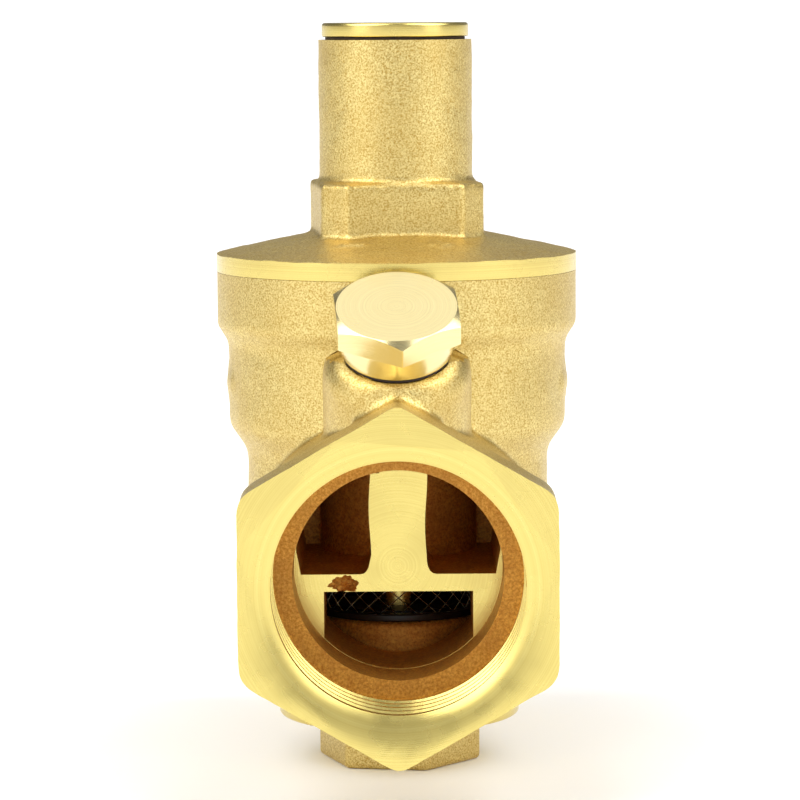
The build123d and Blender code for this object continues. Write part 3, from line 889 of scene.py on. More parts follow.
def complete(piece, body, node, sharp=38.0):
    """Shades a piece, and ties it to its body and the node it replaces."""
    shade(piece, sharp)
    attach(piece, body)
    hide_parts(node)


def complete_elastic(piece, node):
    """Shades a piece, sets its placement into its mesh, and hides the node it replaces."""
    shade(piece)
    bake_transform(piece)
    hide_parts(node)


PORT_TURNS = {-1: Matrix.Rotation(-math.pi / 2, 4, "X"), 1: Matrix.Rotation(math.pi / 2, 4, "X")}
GAUGE_BOSS_PLACE = (
    Matrix.Translation(boss_centre)
    @ Vector((0, 0, 1)).rotation_difference(boss_axis).to_matrix().to_4x4()
)


def at_port(shape, side):
    """A shape made with +Z into the body, placed at the inlet (-1) or the outlet (+1)."""
    return placed(shape, Matrix.Translation((0, side * port_face, port_z)) @ PORT_TURNS[side])


def along_flow(shape):
    """A shape made with +Z up, laid down so that its +Z runs along the flow at the ports' height."""
    return placed(shape, Matrix.Translation((0, 0, port_z)) @ Matrix.Rotation(-math.pi / 2, 4, "X"))


def upright_flow(outline, start, end):
    """Prism along the flow from an outline of (x, height above the ports' axis)."""
    flipped = [(x, -height, *rest) for x, height, *rest in outline]
    return along_flow(prism(flipped, start, end))


def at_gauge_boss(shape):
    """A shape made with +Z outwards, placed on the gauge boss."""
    return placed(shape, GAUGE_BOSS_PLACE)


# ---- Body ----------------------------------------------------------------------------------------
def body_forging():
    """The body's outside as overlapping shapes."""
    stack = turned(
        [
            (0, boss_floor - cut_margin),
            (boss_radius, boss_floor - cut_margin),
            (boss_radius, barrel_floor, 0.9),
            (barrel_radius, barrel_floor, 2.0),
            (barrel_radius, barrel_top, 2.0),
            (waist_radius, waist_z, 2.0),
            (waist_radius, ledge_z, 0.9),
            (collar_radius, collar_z, 0.9),
            (collar_radius, body_top + cut_margin),
            (0, body_top + cut_margin),
        ]
    )
    reach = port_face + cut_margin
    shapes = [stack, along_flow(rod(port_neck_radius, -reach, reach))]
    for side in (-1, 1):
        outline = polygon(6, hex_flats, 90, (hex_tip_round, hex_side_round, hex_side_round))
        shapes.append(at_port(prism(outline, -cut_margin, hex_length), side))
    boss = turned(
        [
            (0, -gauge_boss_length),
            (gauge_boss_radius, -gauge_boss_length),
            (gauge_boss_radius, -1.7, 1.4),
            (gauge_collar_radius + 0.6, 0, 0.5),
            (0, 0),
        ],
        64,
    )
    return mixed([*shapes, at_gauge_boss(boss)])


def port_tool(side, depth):
    """Chamfer, bore, shoulder and throat of one port."""
    mouth = crest_radius + port_chamfer * (1 + cut_margin / chamfer_depth)
    shape = turned(
        [
            (0, -cut_margin),
            (mouth, -cut_margin),
            (crest_radius, chamfer_depth),
            (crest_radius, thread_end),
            (throat_radius, thread_end),
            (throat_radius, depth),
            (0, depth),
        ],
        128,
    )
    # Faces past the thread take the raw finish, whose brown is partly painted shade of the port's hollow.
    for face in shape.faces:
        height = face.calc_center_median().z
        bright = height < thread_end - skin or height > depth - skin
        face.material_index = 0 if bright else 1
    return make_object("port_tool", at_port(shape, side), ["port", "raw"])


def pocket_outline(side):
    """Outline of the hollow beside the rib, whose edge wanders a little as a cast edge does."""
    reach = throat_radius - skin
    rib = rib_width / 2
    floor = web_top - port_z
    fillet_height = 1.9
    fillet_width = 1.0
    top = math.sqrt(reach**2 - rib**2)
    outline = []
    for step in range(9):
        share = step / 8
        height = top + (floor + fillet_height - top) * share
        outline.append((side * (rib + 0.12 * math.sin(5.5 * share + side)), height))
    for step in range(1, 6):
        share = step / 5
        across = rib + fillet_width * share**2
        outline.append((side * across, floor + fillet_height * (1 - share) ** 2))
    draft_width = reach - 0.6
    draft_top = floor + 2.5
    outline.append((side * draft_width, floor))
    first = math.asin(draft_top / reach)
    last = math.acos(rib / reach)
    for step in range(14):
        angle = first + (last - first) * step / 13
        outline.append((side * reach * math.cos(angle), reach * math.sin(angle)))
    return outline[:-1]


def hollow_tool():
    """Everything that is cut out of the forging, as one tool with a finish on each wall."""
    inlet_face = inlet_depth - port_face
    tool = port_tool(-1, inlet_depth)
    combine(tool, port_tool(1, outlet_depth), "UNION")
    for side in (-1, 1):
        hollow = upright_flow(pocket_outline(side), inlet_face - 1, pocket_end)
        pocket = make_object("pocket", hollow, ["raw"])
        apply_shape(pocket, "DIFFERENCE", rod(seat_tube_radius, web_bottom, ceiling + 1), "raw")
        combine(tool, pocket, "UNION")
    reach = throat_radius - skin
    half = window_width / 2
    side_angle = math.acos(half / reach)
    window_top = web_bottom - port_z
    window = [(half, window_top)]
    for step in range(ARC_STEPS + 1):
        angle = -side_angle - (math.pi - 2 * side_angle) * step / ARC_STEPS
        window.append((reach * math.cos(angle), reach * math.sin(angle)))
    window.append((-half, window_top))
    apply_shape(tool, "UNION", upright_flow(window, inlet_face - 1, 0), "raw")
    core = turned(
        [
            (0, boss_floor - 1),
            (gland_radius, boss_floor - 1),
            (gland_radius, gland_top),
            (plug_thread_radius + skin, gland_top),
            (plug_thread_radius + skin, plug_thread_top),
            (chamber_radius, plug_thread_top),
            (chamber_radius, web_bottom - skin),
            (seat_bore, web_bottom - skin),
            (seat_bore, ceiling),
            (guide_radius, ceiling),
            (guide_radius, sensing_floor),
            (sensing_radius, sensing_floor),
            (sensing_radius, ledge_z),
            (socket_radius, ledge_z),
            (socket_radius, body_top + 1),
            (0, body_top + 1),
        ]
    )
    # The chamber walls take the raw finish, whose brown is partly painted shade of the hollow.
    for face in core.faces:
        height = face.calc_center_median().z
        face.material_index = 1 if plug_thread_top < height < ceiling else 0
    apply_shape(tool, "UNION", core, "turned", "raw")
    slot_half = seat_bore - 0.8
    slot_height = throat_radius - 1.6
    slot = [
        (-slot_half, 0, 2.0),
        (slot_half, 0, 2.0),
        (slot_half, slot_height, 2.0),
        (-slot_half, slot_height, 2.0),
    ]
    slot_end = port_face - outlet_depth + 1
    apply_shape(tool, "UNION", upright_flow(slot, 0, slot_end), "raw")
    drilling = placed(
        rod(sensing_hole_radius, ceiling - 2.6, sensing_floor + 1, 24),
        Matrix.Translation((0, sensing_radius - 3.5, 0)),
    )
    apply_shape(tool, "UNION", drilling, "turned")
    gauge_hole = turned(
        [
            (0, -gauge_hole_depth),
            (gauge_thread_radius, -gauge_hole_depth),
            (gauge_thread_radius, -0.5),
            (gauge_thread_radius + 1.0, 0.5),
            (0, 0.5),
        ],
        64,
    )
    apply_shape(tool, "UNION", at_gauge_boss(gauge_hole), "gauge")
    passage_start = boss_centre - boss_axis * (gauge_hole_depth - 1.1)
    passage_end = Vector((0, 1 - sensing_radius, ledge_z - 2.1))
    path = passage_end - passage_start
    passage = placed(
        rod(gauge_passage_radius, 0, path.length, 24),
        Matrix.Translation(passage_start)
        @ Vector((0, 0, 1)).rotation_difference(path).to_matrix().to_4x4(),
    )
    apply_shape(tool, "UNION", passage, "turned")
    for side in (-1, 1):
        thread = helix(
            crest_radius - 0.12,
            crest_radius + ridge_height,
            port_pitch,
            thread_start,
            thread_end - 0.9,
            64,
            0.84,
        )
        apply_shape(tool, "UNION", at_port(thread, side), "port")
    for lump in web_breaks():
        apply_shape(tool, "UNION", lump, "raw")
    span = hex_flats
    slabs = (
        ((-span, -port_face - 2 * cut_margin, -1), (span, -port_face, body_top - 1)),
        ((-span, port_face, -1), (span, port_face + 2 * cut_margin, body_top - 1)),
    )
    for low, high in slabs:
        apply_shape(tool, "UNION", block(low, high), "port")
    flange_room = port_face - hex_length - 1
    for low_z, high_z in ((body_low.z - 4, boss_floor), (body_top, body_top + 2 * cut_margin)):
        room = block((-span, -flange_room, low_z), (span, flange_room, high_z))
        apply_shape(tool, "UNION", room, "turned")
    return tool


def web_breaks():
    """Rough lumps that break out of the web's upper edge and the rib's top."""
    places = (
        (Vector((-5.35, inlet_depth - port_face, web_bottom + 0.75)), Vector((1.35, 0.9, 0.8)), 3.0),
        (Vector((-2.3, inlet_depth - port_face, port_z + 9.5)), Vector((0.75, 0.6, 0.4)), 7.0),
        (Vector((1.6, inlet_depth - port_face, port_z + 9.75)), Vector((0.8, 0.6, 0.4)), 11.0),
    )
    lumps = []
    for centre, size, seed in places:
        lump = bmesh.new()
        bmesh.ops.create_icosphere(lump, subdivisions=4, radius=1.0)
        for vertex in lump.verts:
            vertex.co *= 1 + 0.35 * noise.noise(vertex.co * 2.2 + Vector((seed, 0, 0)))
            vertex.co *= 1 + 0.2 * noise.noise(vertex.co * 6.0 + Vector((0, seed, 0)))
        lumps.append(placed(lump, Matrix.Translation(centre) @ Matrix.Diagonal((*size, 1))))
    return lumps


def flow_arrow(side):
    """Raised arrow along the flow on one flank of the body."""
    length = 9.0
    head = 3.6
    bar = 1.4
    start = length / 2 - head
    outline = [
        (-length / 2, -bar / 2),
        (start, -bar / 2),
        (start, -head / 2),
        (length / 2, 0),
        (start, head / 2),
        (start, bar / 2),
        (-length / 2, bar / 2),
    ]
    outside = waist_radius + mark_height
    middle = (waist_z + ledge_z) / 2
    stand = Matrix(((0, 0, side, 0), (1, 0, 0, 0), (0, side, 0, middle), (0, 0, 0, 1)))
    arrow = make_object("arrow", placed(prism(outline, 0, outside), stand), ["forged"])
    apply_shape(arrow, "INTERSECT", rod(outside, waist_z, ledge_z), "forged")
    return shape_of(arrow)


class RegulatorBody(bpy.types.Operator):
    """Build the forged body with its machined ports and passages"""

    bl_idname = "regulator.body"
    bl_label = "Body"

    def execute(self, context):
        """Softens the forging, then machines it."""
        shapes = [body_forging(), flow_arrow(-1), flow_arrow(1)]
        piece = make_object("body_casting", mixed(shapes), ["forged"])
        soften(piece, context.scene.regulator_sizes.body_grid, 6, collar_radius)
        combine(piece, hollow_tool(), "DIFFERENCE")
        if len(piece.data.polygons) < 10000:
            raise RuntimeError("the body lost its faces while it was machined")
        complete(piece, "housing", "body")
        return {"FINISHED"}


# ---- Bonnet --------------------------------------------------------------------------------------
def adjusting_mark(side):
    """Raised plus (+1) or minus (-1) sign on the cone."""
    size = 2.4
    stroke = 0.7
    inset = 6.3
    slope = (wrench_z - cone_z) / (rim_radius - cone_top_radius)
    distance = rim_radius - inset
    bars = [block((-size / 2, -stroke / 2, -1), (size / 2, stroke / 2, 0.3))]
    if side > 0:
        bars.append(block((-stroke / 2, -size / 2, -1), (stroke / 2, size / 2, 0.3)))
    around = Matrix.Rotation(side * 4.2 / distance, 4, "Z")
    seat = Matrix.Translation((0, -distance, cone_z + slope * inset))
    return placed(mixed(bars), around @ seat @ Matrix.Rotation(math.atan(slope), 4, "X"))


class RegulatorBonnet(bpy.types.Operator):
    """Build the bonnet: bright rim, low cone, wrench section and neck tube"""

    bl_idname = "regulator.bonnet"
    bl_label = "Bonnet"

    def execute(self, context):
        """Softens the forging, then turns its rim, its neck and its inside."""
        cone = turned(
            [
                (0, body_top - 1),
                (rim_radius + 0.4, body_top - 1),
                (rim_radius + 0.4, cone_z - 0.05, 0.3),
                (cone_top_radius, wrench_z, 0.5),
                (0, wrench_z),
            ]
        )
        side = wrench_flats / 2
        cut = wrench_chamfer
        outline = []
        for turn in range(4):
            angle = math.radians(90 * turn + wrench_turn)
            for x, y in ((side, -side + cut), (side, side - cut)):
                across = x * math.cos(angle) - y * math.sin(angle)
                outline.append((across, x * math.sin(angle) + y * math.cos(angle), 0.35))
        wrench = prism(outline, wrench_z - 2, wrench_top)
        neck = rod(neck_radius, wrench_top - 2, neck_top + 1)
        shapes = [cone, wrench, neck, adjusting_mark(-1), adjusting_mark(1)]
        piece = make_object("bonnet_casting", mixed(shapes), ["forged"])
        soften(piece, context.scene.regulator_sizes.bonnet_grid, 4, rim_radius + 0.3)
        bore = turned(
            [
                (0, body_top - 2),
                (rim_radius + 3, body_top - 2),
                (rim_radius + 3, cone_z + 1),
                (rim_radius, cone_z + 1),
                (rim_radius, body_top, 0.12),
                (spigot_bore, body_top),
                (spigot_bore, spring_room_floor),
                (neck_bore, wrench_z - 1.2),
                (neck_bore, neck_top - 0.5),
                (neck_bore + 0.5, neck_top),
                (neck_radius + 2, neck_top),
                (neck_radius + 2, neck_top + 3),
                (0, neck_top + 3),
            ],
            128,
        )
        tool = make_object("bonnet_tool", bore, ["turned"])
        thread = helix(neck_bore - 0.1, neck_bore + 0.5, fine_pitch, wrench_z + 2, neck_top - 0.4)
        apply_shape(tool, "UNION", thread, "turned")
        combine(piece, tool, "DIFFERENCE")
        spigot = turned(
            [
                (spigot_bore, bonnet_low.z),
                (socket_radius - 0.06, bonnet_low.z, 0.3),
                (socket_radius - 0.06, body_top + 0.4),
                (spigot_bore, body_top + 0.4),
            ]
        )
        apply_shape(piece, "UNION", spigot, "turned")
        if len(piece.data.polygons) < 8000:
            raise RuntimeError("the bonnet lost its faces while it was machined")
        complete(piece, "housing", "bonnet")
        return {"FINISHED"}


# ---- Screwed pieces ------------------------------------------------------------------------------
class RegulatorCap(bpy.types.Operator):
    """Build the polished cap with its coin slot, and the gasket under it"""

    bl_idname = "regulator.cap"
    bl_label = "Cap"

    def execute(self, context):
        """Turns the cap, cuts its thread and its slot, and turns the gasket."""
        radius = cap_high.x
        spigot = neck_bore - skin
        shape = turned(
            [
                (0, cap_low.z),
                (spigot, cap_low.z, 0.3),
                (spigot, cap_underside),
                (radius, cap_underside, 0.15),
                (radius, cap_high.z, 0.32),
                (0, cap_high.z),
            ],
            128,
        )
        piece = make_object("adjuster_cap_polished", shape, ["turned"])
        thread = helix(spigot + 0.1, spigot - 0.45, fine_pitch, cap_low.z - 0.4, cap_underside - 0.6)
        apply_shape(piece, "DIFFERENCE", thread, "turned")
        reach = radius * 0.75
        slot = block(
            (-reach, -cap_slot_width / 2, cap_high.z - cap_slot_depth),
            (reach, cap_slot_width / 2, cap_high.z + 1),
        )
        apply_shape(piece, "DIFFERENCE", slot, "turned")
        complete(piece, "cap", "adjuster_cap")
        gasket = flat_ring(neck_bore + 0.12, gasket_high.x, gasket_low.z, gasket_high.z, 0.05, 0.1)
        gasket_piece = make_object("cap_gasket_fibre", gasket, ["fibre"])
        complete(gasket_piece, "cap_slider", "cap_gasket")
        return {"FINISHED"}


def cornered_prism(flats, low, high, turn):
    """Hexagonal prism whose upper corners are turned back by a 30 degree chamfer."""
    tip = flats / 2 / math.cos(math.pi / 6)
    circle = flats / 2 - 0.05
    # The turned cone reaches 1 mm past the corners, and falls 0.58 mm more over it.
    fall = (tip - circle) * math.tan(math.radians(30)) + 0.58
    cone = [(0, low - 1), (tip + 1, low - 1), (tip + 1, high - fall), (circle, high), (0, high)]
    piece = make_object("prism", prism(polygon(6, flats, turn, (0.12,)), low, high), ["gauge"])
    apply_shape(piece, "INTERSECT", turned(cone, 128), "gauge")
    return shape_of(piece)


class RegulatorGaugePlug(bpy.types.Operator):
    """Build the hexagon-headed gauge plug and its washer"""

    bl_idname = "regulator.gauge_plug"
    bl_label = "Gauge plug"

    def execute(self, context):
        """Turns the shank and collar, cuts the thread, and adds the head."""
        shank = turned(
            [
                (0, -gauge_shank_length),
                (gauge_thread_radius - skin, -gauge_shank_length, 0.5),
                (gauge_thread_radius - skin, gauge_seal),
                (gauge_collar_radius, gauge_seal, 0.15),
                (gauge_collar_radius, gauge_head_low - 0.35, 0.25),
                (gauge_collar_radius - 0.35, gauge_head_low + 0.3),
                (0, gauge_head_low + 0.3),
            ]
        )
        piece = make_object("gauge_plug_polished", shank, ["gauge"])
        edge = gauge_thread_radius - skin
        thread = helix(edge + 0.1, edge - 0.45, gauge_pitch, -gauge_shank_length - 0.4, -0.6)
        apply_shape(piece, "DIFFERENCE", thread, "gauge")
        top = gauge_head_low + gauge_hex_height
        head = cornered_prism(gauge_hex_flats, gauge_head_low, top, gauge_hex_turn)
        apply_shape(piece, "UNION", head, "gauge")
        piece.data.transform(GAUGE_BOSS_PLACE)
        complete(piece, "gauge_port_plug", "gauge_plug", sharp=25.0)
        inner = gauge_thread_radius + 0.12
        washer = flat_ring(inner, gauge_collar_radius - 0.12, 0, gauge_seal, 0.05, 0.1, 64)
        washer_piece = make_object("gauge_plug_washer", at_gauge_boss(washer), ["fibre"])
        complete(washer_piece, "gauge_slider", "gauge_plug_seal")
        return {"FINISHED"}


class RegulatorBottomPlug(bpy.types.Operator):
    """Build the bottom plug with its hexagon, flange, thread and strainer cup"""

    bl_idname = "regulator.bottom_plug"
    bl_label = "Bottom plug"

    def execute(self, context):
        """Turns the plug, cuts its thread, and joins the hexagon."""
        flange = bottom_high.x
        turning = turned(
            [
                (0, plug_hex_height - 0.5),
                (plug_hex_flats / 2 - 0.4, plug_hex_height - 0.5),
                (flange, plug_hex_height, 0.35),
                (flange, boss_floor, 0.35),
                (plug_groove_radius, boss_floor, 0.15),
                (plug_groove_radius, plug_groove_top, 0.15),
                (plug_thread_radius, plug_groove_top),
                (plug_thread_radius, plug_thread_top - 0.1, 0.3),
                (plug_rim_radius, plug_thread_top - 0.1),
                (plug_rim_radius, bottom_high.z, 0.8),
                (plug_cup_radius, bottom_high.z, 0.2),
                (plug_cup_radius, plug_cup_floor, 0.6),
                (guide_hole_radius, plug_cup_floor, 0.2),
                (guide_hole_radius, 5.0),
                (0, 4.9),
            ],
            128,
        )
        # The rim above the thread takes the raw finish, whose brown is partly painted shade of the chamber.
        for face in turning.faces:
            middle = face.calc_center_median()
            above = middle.z > plug_thread_top - 0.2
            face.material_index = 1 if above else 0
        piece = make_object("bottom_plug_turned", turning, ["turned", "raw"])
        thread = helix(
            plug_thread_radius + 0.1,
            plug_thread_radius - 0.5,
            fine_pitch,
            plug_groove_top + 0.2,
            plug_thread_top + 0.3,
            64,
        )
        apply_shape(piece, "DIFFERENCE", thread, "turned")
        head = prism(polygon(6, plug_hex_flats, plug_hex_turn, (0.9,)), 0, plug_hex_height + 0.2)
        edges = [edge for edge in head.edges if max(vertex.co.z for vertex in edge.verts) < 1e-6]
        bmesh.ops.bevel(
            head, geom=edges, offset=0.55, segments=4, profile=0.5, affect="EDGES", material=-1
        )
        apply_shape(piece, "UNION", head, "forged")
        complete(piece, "plug", "bottom_plug")
        section = (o_ring_high.z - o_ring_low.z) / 2
        centre = Vector((o_ring_high.x - section, 0, (o_ring_low.z + o_ring_high.z) / 2))
        ring = bmesh.new()
        circle = bmesh.ops.create_circle(
            ring,
            segments=20,
            radius=section,
            matrix=Matrix.Translation(centre) @ Matrix.Rotation(math.pi / 2, 4, "X"),
        )
        bmesh.ops.spin(
            ring,
            geom=circle["verts"] + list(ring.edges),
            cent=(0, 0, 0),
            axis=(0, 0, 1),
            angle=FULL_TURN,
            steps=96,
            use_merge=True,
        )
        bmesh.ops.remove_doubles(ring, verts=ring.verts, dist=1e-4)
        bmesh.ops.recalc_face_normals(ring, faces=ring.faces)
        ring_piece = make_object("bottom_plug_seal", ring, ["rubber"])
        complete(ring_piece, "strainer_slider", "bottom_plug_o_ring")
        return {"FINISHED"}


# ---- Strainer and springs ------------------------------------------------------------------------
def wound_wire(radius, wire, spans, sides=12, steps=40):
    """Round wire wound about Z from the plane z = 0, in spans of (turns, rise) one after another."""
    shape = bmesh.new()
    section = bmesh.ops.create_circle(
        shape,
        segments=sides,
        radius=wire / 2,
        cap_ends=True,
        matrix=Matrix.Translation((radius, 0, 0)) @ Matrix.Rotation(math.pi / 2, 4, "X"),
    )
    loop = section["verts"] + list(shape.edges)
    for turns, rise in spans:
        count = max(2, round(abs(turns) * steps))
        wound = bmesh.ops.spin(
            shape,
            geom=loop,
            cent=(0, 0, 0),
            axis=(0, 0, 1),
            dvec=(0, 0, rise / count),
            angle=FULL_TURN * turns,
            steps=count,
        )
        loop = wound["geom_last"]
    shape.faces.new([item for item in loop if isinstance(item, bmesh.types.BMVert)])
    bmesh.ops.recalc_face_normals(shape, faces=shape.faces)
    return shape


def ground_flat(shape, height, upper):
    """Grinds a spring's end flat at a height."""
    cut = bmesh.ops.bisect_plane(
        shape,
        geom=list(shape.verts) + list(shape.edges) + list(shape.faces),
        plane_co=(0, 0, height),
        plane_no=(0, 0, 1 if upper else -1),
        clear_outer=True,
    )
    edges = [item for item in cut["geom_cut"] if isinstance(item, bmesh.types.BMEdge)]
    bmesh.ops.holes_fill(shape, edges=edges, sides=0)
    bmesh.ops.recalc_face_normals(shape, faces=shape.faces)


def wound_spring(low, high, wire, active, sides=12, steps=40):
    """Closed coil, open coils, closed coil between two heights, with both ends ground flat."""
    dead = 0.9
    height = high.z - low.z
    spans = [(dead, wire * 0.95), (active, height - wire * 1.9), (dead, wire * 0.95)]
    shape = wound_wire(high.x - wire / 2, wire, spans, sides, steps)
    placed(shape, Matrix.Translation((0, 0, low.z)))
    ground_flat(shape, low.z, False)
    ground_flat(shape, high.z, True)
    return shape


class RegulatorSprings(bpy.types.Operator):
    """Build the main spring and the return spring"""

    bl_idname = "regulator.springs"
    bl_label = "Springs"

    def execute(self, context):
        """Winds each spring and grinds its ends."""
        middle = (main_low.z + main_high.z) / 2
        for name, body, upper in (
            ("main_spring_lower", "valve", False),
            ("main_spring_upper", "button_slider", True),
        ):
            shape = wound_spring(main_low, main_high, main_spring_wire, 3.6)
            ground_flat(shape, middle, not upper)
            piece = make_object(name, shape, ["spring"])
            complete_elastic(piece, "main_spring")
        shape = wound_spring(return_low, return_high, return_spring_wire, 3.0, 10, 36)
        piece = make_object("return_spring_wound", shape, ["spring"])
        complete_elastic(piece, "return_spring")
        return {"FINISHED"}


class RegulatorStrainer(bpy.types.Operator):
    """Build the woven strainer between its two moulded rings"""

    bl_idname = "regulator.strainer"
    bl_label = "Strainer"

    def execute(self, context):
        """Winds one wire each way, repeats both around the axis, and turns the rings."""
        low = screen_low.z - 0.2
        rise = screen_high.z - screen_low.z + 0.4
        radius = screen_high.x - mesh_wire
        share = rise / (FULL_TURN * radius)
        wires = []
        lift = Matrix.Translation((0, 0, low))
        for way in (-1, 1):
            layer = 1 - 0.006 * way
            for number in range(mesh_wires_each_way):
                wire = wound_wire(radius, mesh_wire, [(way * share * 1.15, rise)], 5, 48)
                turn = Matrix.Rotation(FULL_TURN * number / mesh_wires_each_way, 4, "Z")
                wires.append(placed(wire, lift @ turn @ Matrix.Diagonal((layer, layer, 1, 1))))
        piece = make_object("strainer_woven", mixed(wires), ["screen"])
        complete(piece, "strainer_slider", "strainer_screen", sharp=80.0)
        for node in ("strainer_top_ring", "strainer_bottom_ring"):
            ring_low, ring_high = corners(node)
            ring = flat_ring(strainer_bore, ring_high.x, ring_low.z, ring_high.z, 0.1, 0.15)
            piece = make_object(node + "_moulded", ring, ["nylon"])
            complete(piece, "strainer_slider", node)
        return {"FINISHED"}


class RegulatorDiaphragm(bpy.types.Operator):
    """Build the moulded diaphragm with its rolled rim"""

    bl_idname = "regulator.diaphragm"
    bl_label = "Diaphragm"

    def execute(self, context):
        """Turns the rubber disc."""
        rim = diaphragm_high.x
        dish = diaphragm_low.z
        dish_top = dish + diaphragm_thickness
        shape = turned(
            [
                (2.05, dish, 0.1),
                (9.5, dish, 1.0),
                (12.6, dish + 1.5, 1.0),
                (rim, dish + 1.5, 0.2),
                (rim, diaphragm_high.z, 0.2),
                (12.6, diaphragm_high.z, 1.0),
                (9.5, dish_top, 1.0),
                (2.05, dish_top, 0.1),
            ]
        )
        piece = make_object("diaphragm_moulded", shape, ["rubber"])
        complete_elastic(piece, "diaphragm")
        return {"FINISHED"}


class RegulatorInnerPieces(bpy.types.Operator):
    """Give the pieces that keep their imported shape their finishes"""

    bl_idname = "regulator.inner_pieces"
    bl_label = "Inner pieces"

    def execute(self, context):
        """Assigns a finish to each kept node."""
        kept = {
            "turned": (
                "adjusting_screw",
                "spring_button",
                "diaphragm_plate",
                "backing_washer",
                "stem",
                "stem_guide",
                "disc_holder",
            ),
            "stainless": ("stem_nut", "lock_washer", "slip_ring", "seat_ring", "disc_nut"),
            "rubber": ("disc_seal",),
        }
        for name, nodes in kept.items():
            for node in nodes:
                for entry in frame["nodes"][node].material_slots:
                    entry.material = finish(name)
        return {"FINISHED"}


# ---- Stage ---------------------------------------------------------------------------------------
def hang(name, light, azimuth, elevation, distance):
    """Hangs a light that looks at the regulator's middle; azimuth 0 is the inlet's side."""
    level = math.radians(elevation)
    around = math.radians(azimuth)
    away = Vector((0, 0, math.sin(level)))
    away.x = math.sin(around) * math.cos(level)
    away.y = -math.cos(around) * math.cos(level)
    lamp = bpy.data.objects.new(name, light)
    lamp.location = Vector((0, 0, 0.04)) + away * distance
    lamp.rotation_euler = away.to_track_quat("Z", "Y").to_euler()
    bpy.context.scene.collection.objects.link(lamp)
    return lamp


def soft_light(name, azimuth, elevation, distance, size, power):
    """Large softbox that the camera doesn't see."""
    light = bpy.data.lights.new(name, "AREA")
    light.shape = "RECTANGLE"
    light.size, light.size_y = size
    light.energy = power
    hang(name, light, azimuth, elevation, distance).visible_camera = False


def side_diffuser(name, azimuth, elevation, power):
    """Wide, distant soft light that whitens the floor."""
    light = bpy.data.lights.new(name, "SUN")
    light.energy = power
    light.angle = math.radians(diffuser_spread)
    hang(name, light, azimuth, elevation, 1.0)


def studio_world():
    """White haze at the horizon, a pale room on the inlet's side and a dim one behind."""
    world = bpy.data.worlds.new("studio_room")
    world.use_nodes = True
    tree = world.node_tree
    tree.nodes.clear()
    way = add_node(tree, "ShaderNodeTexCoord").outputs["Generated"]
    parts = add_node(tree, "ShaderNodeSeparateXYZ", {0: way})
    room = add_node(
        tree,
        "ShaderNodeMapRange",
        {"Value": parts.outputs["Y"], "From Min": -0.8, "From Max": 0.2, "To Min": 0.62, "To Max": 0.22},
    )
    ceiling_share = add_node(
        tree,
        "ShaderNodeMapRange",
        {"Value": parts.outputs["Z"], "From Min": 0.35, "From Max": 0.9, "To Min": 1.0, "To Max": 0.4},
    )
    room = add_node(
        tree,
        "ShaderNodeMath",
        {0: room.outputs[0], 1: ceiling_share.outputs[0]},
        operation="MULTIPLY",
    )
    haze = add_node(
        tree,
        "ShaderNodeMapRange",
        {
            "Value": parts.outputs["Z"],
            "From Min": 0.02,
            "From Max": 0.12,
            "To Min": 1.15,
            "To Max": room.outputs[0],
        },
    )
    sky = add_node(
        tree, "ShaderNodeBackground", {"Color": linear("#FFFFFF"), "Strength": haze.outputs[0]}
    )
    add_node(tree, "ShaderNodeOutputWorld", {"Surface": sky.outputs[0]})
    return world


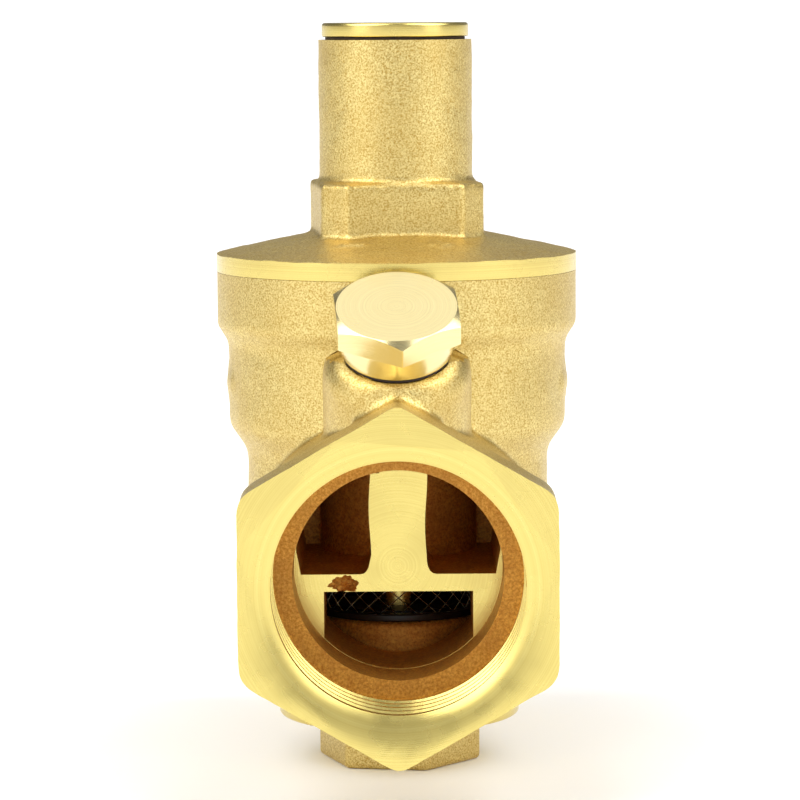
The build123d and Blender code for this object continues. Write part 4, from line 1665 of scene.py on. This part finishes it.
class RegulatorStage(bpy.types.Operator):
    """Build the floor, the lights and the camera"""

    bl_idname = "regulator.stage"
    bl_label = "Stage"

    def execute(self, context):
        """Lays the paper, hangs the lights and sets the camera."""
        paper = bmesh.new()
        bmesh.ops.create_grid(paper, x_segments=1, y_segments=1, size=14000)
        floor = make_object("floor", paper, ["floor"])
        floor.data.transform(Matrix.Translation((0, 0, -0.02)))
        floor.data.transform(Matrix.Scale(MM, 4))
        soft_light("left_softbox", -55, 28, 0.9, (0.5, 0.9), 1.4)
        soft_light("right_softbox", 62, 28, 0.9, (0.5, 0.9), 1.25)
        soft_light("high_softbox", 180, 66, 0.8, (0.7, 0.7), 1.6)
        side_diffuser("left_diffuser", -60, 48, 2.15)
        side_diffuser("right_diffuser", 68, 48, 2.0)
        context.scene.world = studio_world()
        lens = bpy.data.cameras.new("product_camera")
        lens.lens = camera_lens
        lens.sensor_width = 36.0
        lens.clip_start = 0.01
        lens.clip_end = 60.0
        camera = bpy.data.objects.new("product_camera", lens)
        tilt = Matrix.Rotation(math.radians(90 - camera_pitch), 4, "X")
        roll = Matrix.Rotation(math.radians(camera_roll), 4, "Z")
        camera.matrix_world = Matrix.Translation(camera_place) @ tilt @ roll
        context.scene.collection.objects.link(camera)
        context.scene.camera = camera
        context.scene.view_settings.view_transform = "Standard"
        return {"FINISHED"}


# ---- Sidebar -------------------------------------------------------------------------------------
OPERATORS = (
    RegulatorStage,
    RegulatorBody,
    RegulatorBonnet,
    RegulatorCap,
    RegulatorGaugePlug,
    RegulatorBottomPlug,
    RegulatorSprings,
    RegulatorStrainer,
    RegulatorDiaphragm,
    RegulatorInnerPieces,
)


class RegulatorPanel(bpy.types.Panel):
    """Lists the pieces, the sizes and the colours"""

    bl_idname = "VIEW3D_PT_regulator"
    bl_label = "Regulator"
    bl_space_type = "VIEW_3D"
    bl_region_type = "UI"
    bl_category = "Regulator"

    def draw(self, context):
        """Draws a button for each operator and a field for each property."""
        for operator in OPERATORS:
            self.layout.operator(operator.bl_idname)
        for group in (context.scene.regulator_sizes, context.scene.regulator_colours):
            for name in group.bl_rna.properties.keys():
                if name not in ("rna_type", "name"):
                    self.layout.prop(group, name)


CLASSES = (RegulatorSizes, RegulatorColours, *OPERATORS, RegulatorPanel)


def register():
    """Registers the classes and hangs the property groups on the scene."""
    for entry in CLASSES:
        bpy.utils.register_class(entry)
    bpy.types.Scene.regulator_sizes = bpy.props.PointerProperty(type=RegulatorSizes)
    bpy.types.Scene.regulator_colours = bpy.props.PointerProperty(type=RegulatorColours)


def unregister():
    """Takes the property groups and the classes away again."""
    del bpy.types.Scene.regulator_colours
    del bpy.types.Scene.regulator_sizes
    for entry in reversed(CLASSES):
        bpy.utils.unregister_class(entry)


def main():
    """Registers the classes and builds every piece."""
    register()
    for operator in OPERATORS:
        group, name = operator.bl_idname.split(".")
        getattr(getattr(bpy.ops, group), name)()


if __name__ == "__main__":
    main()
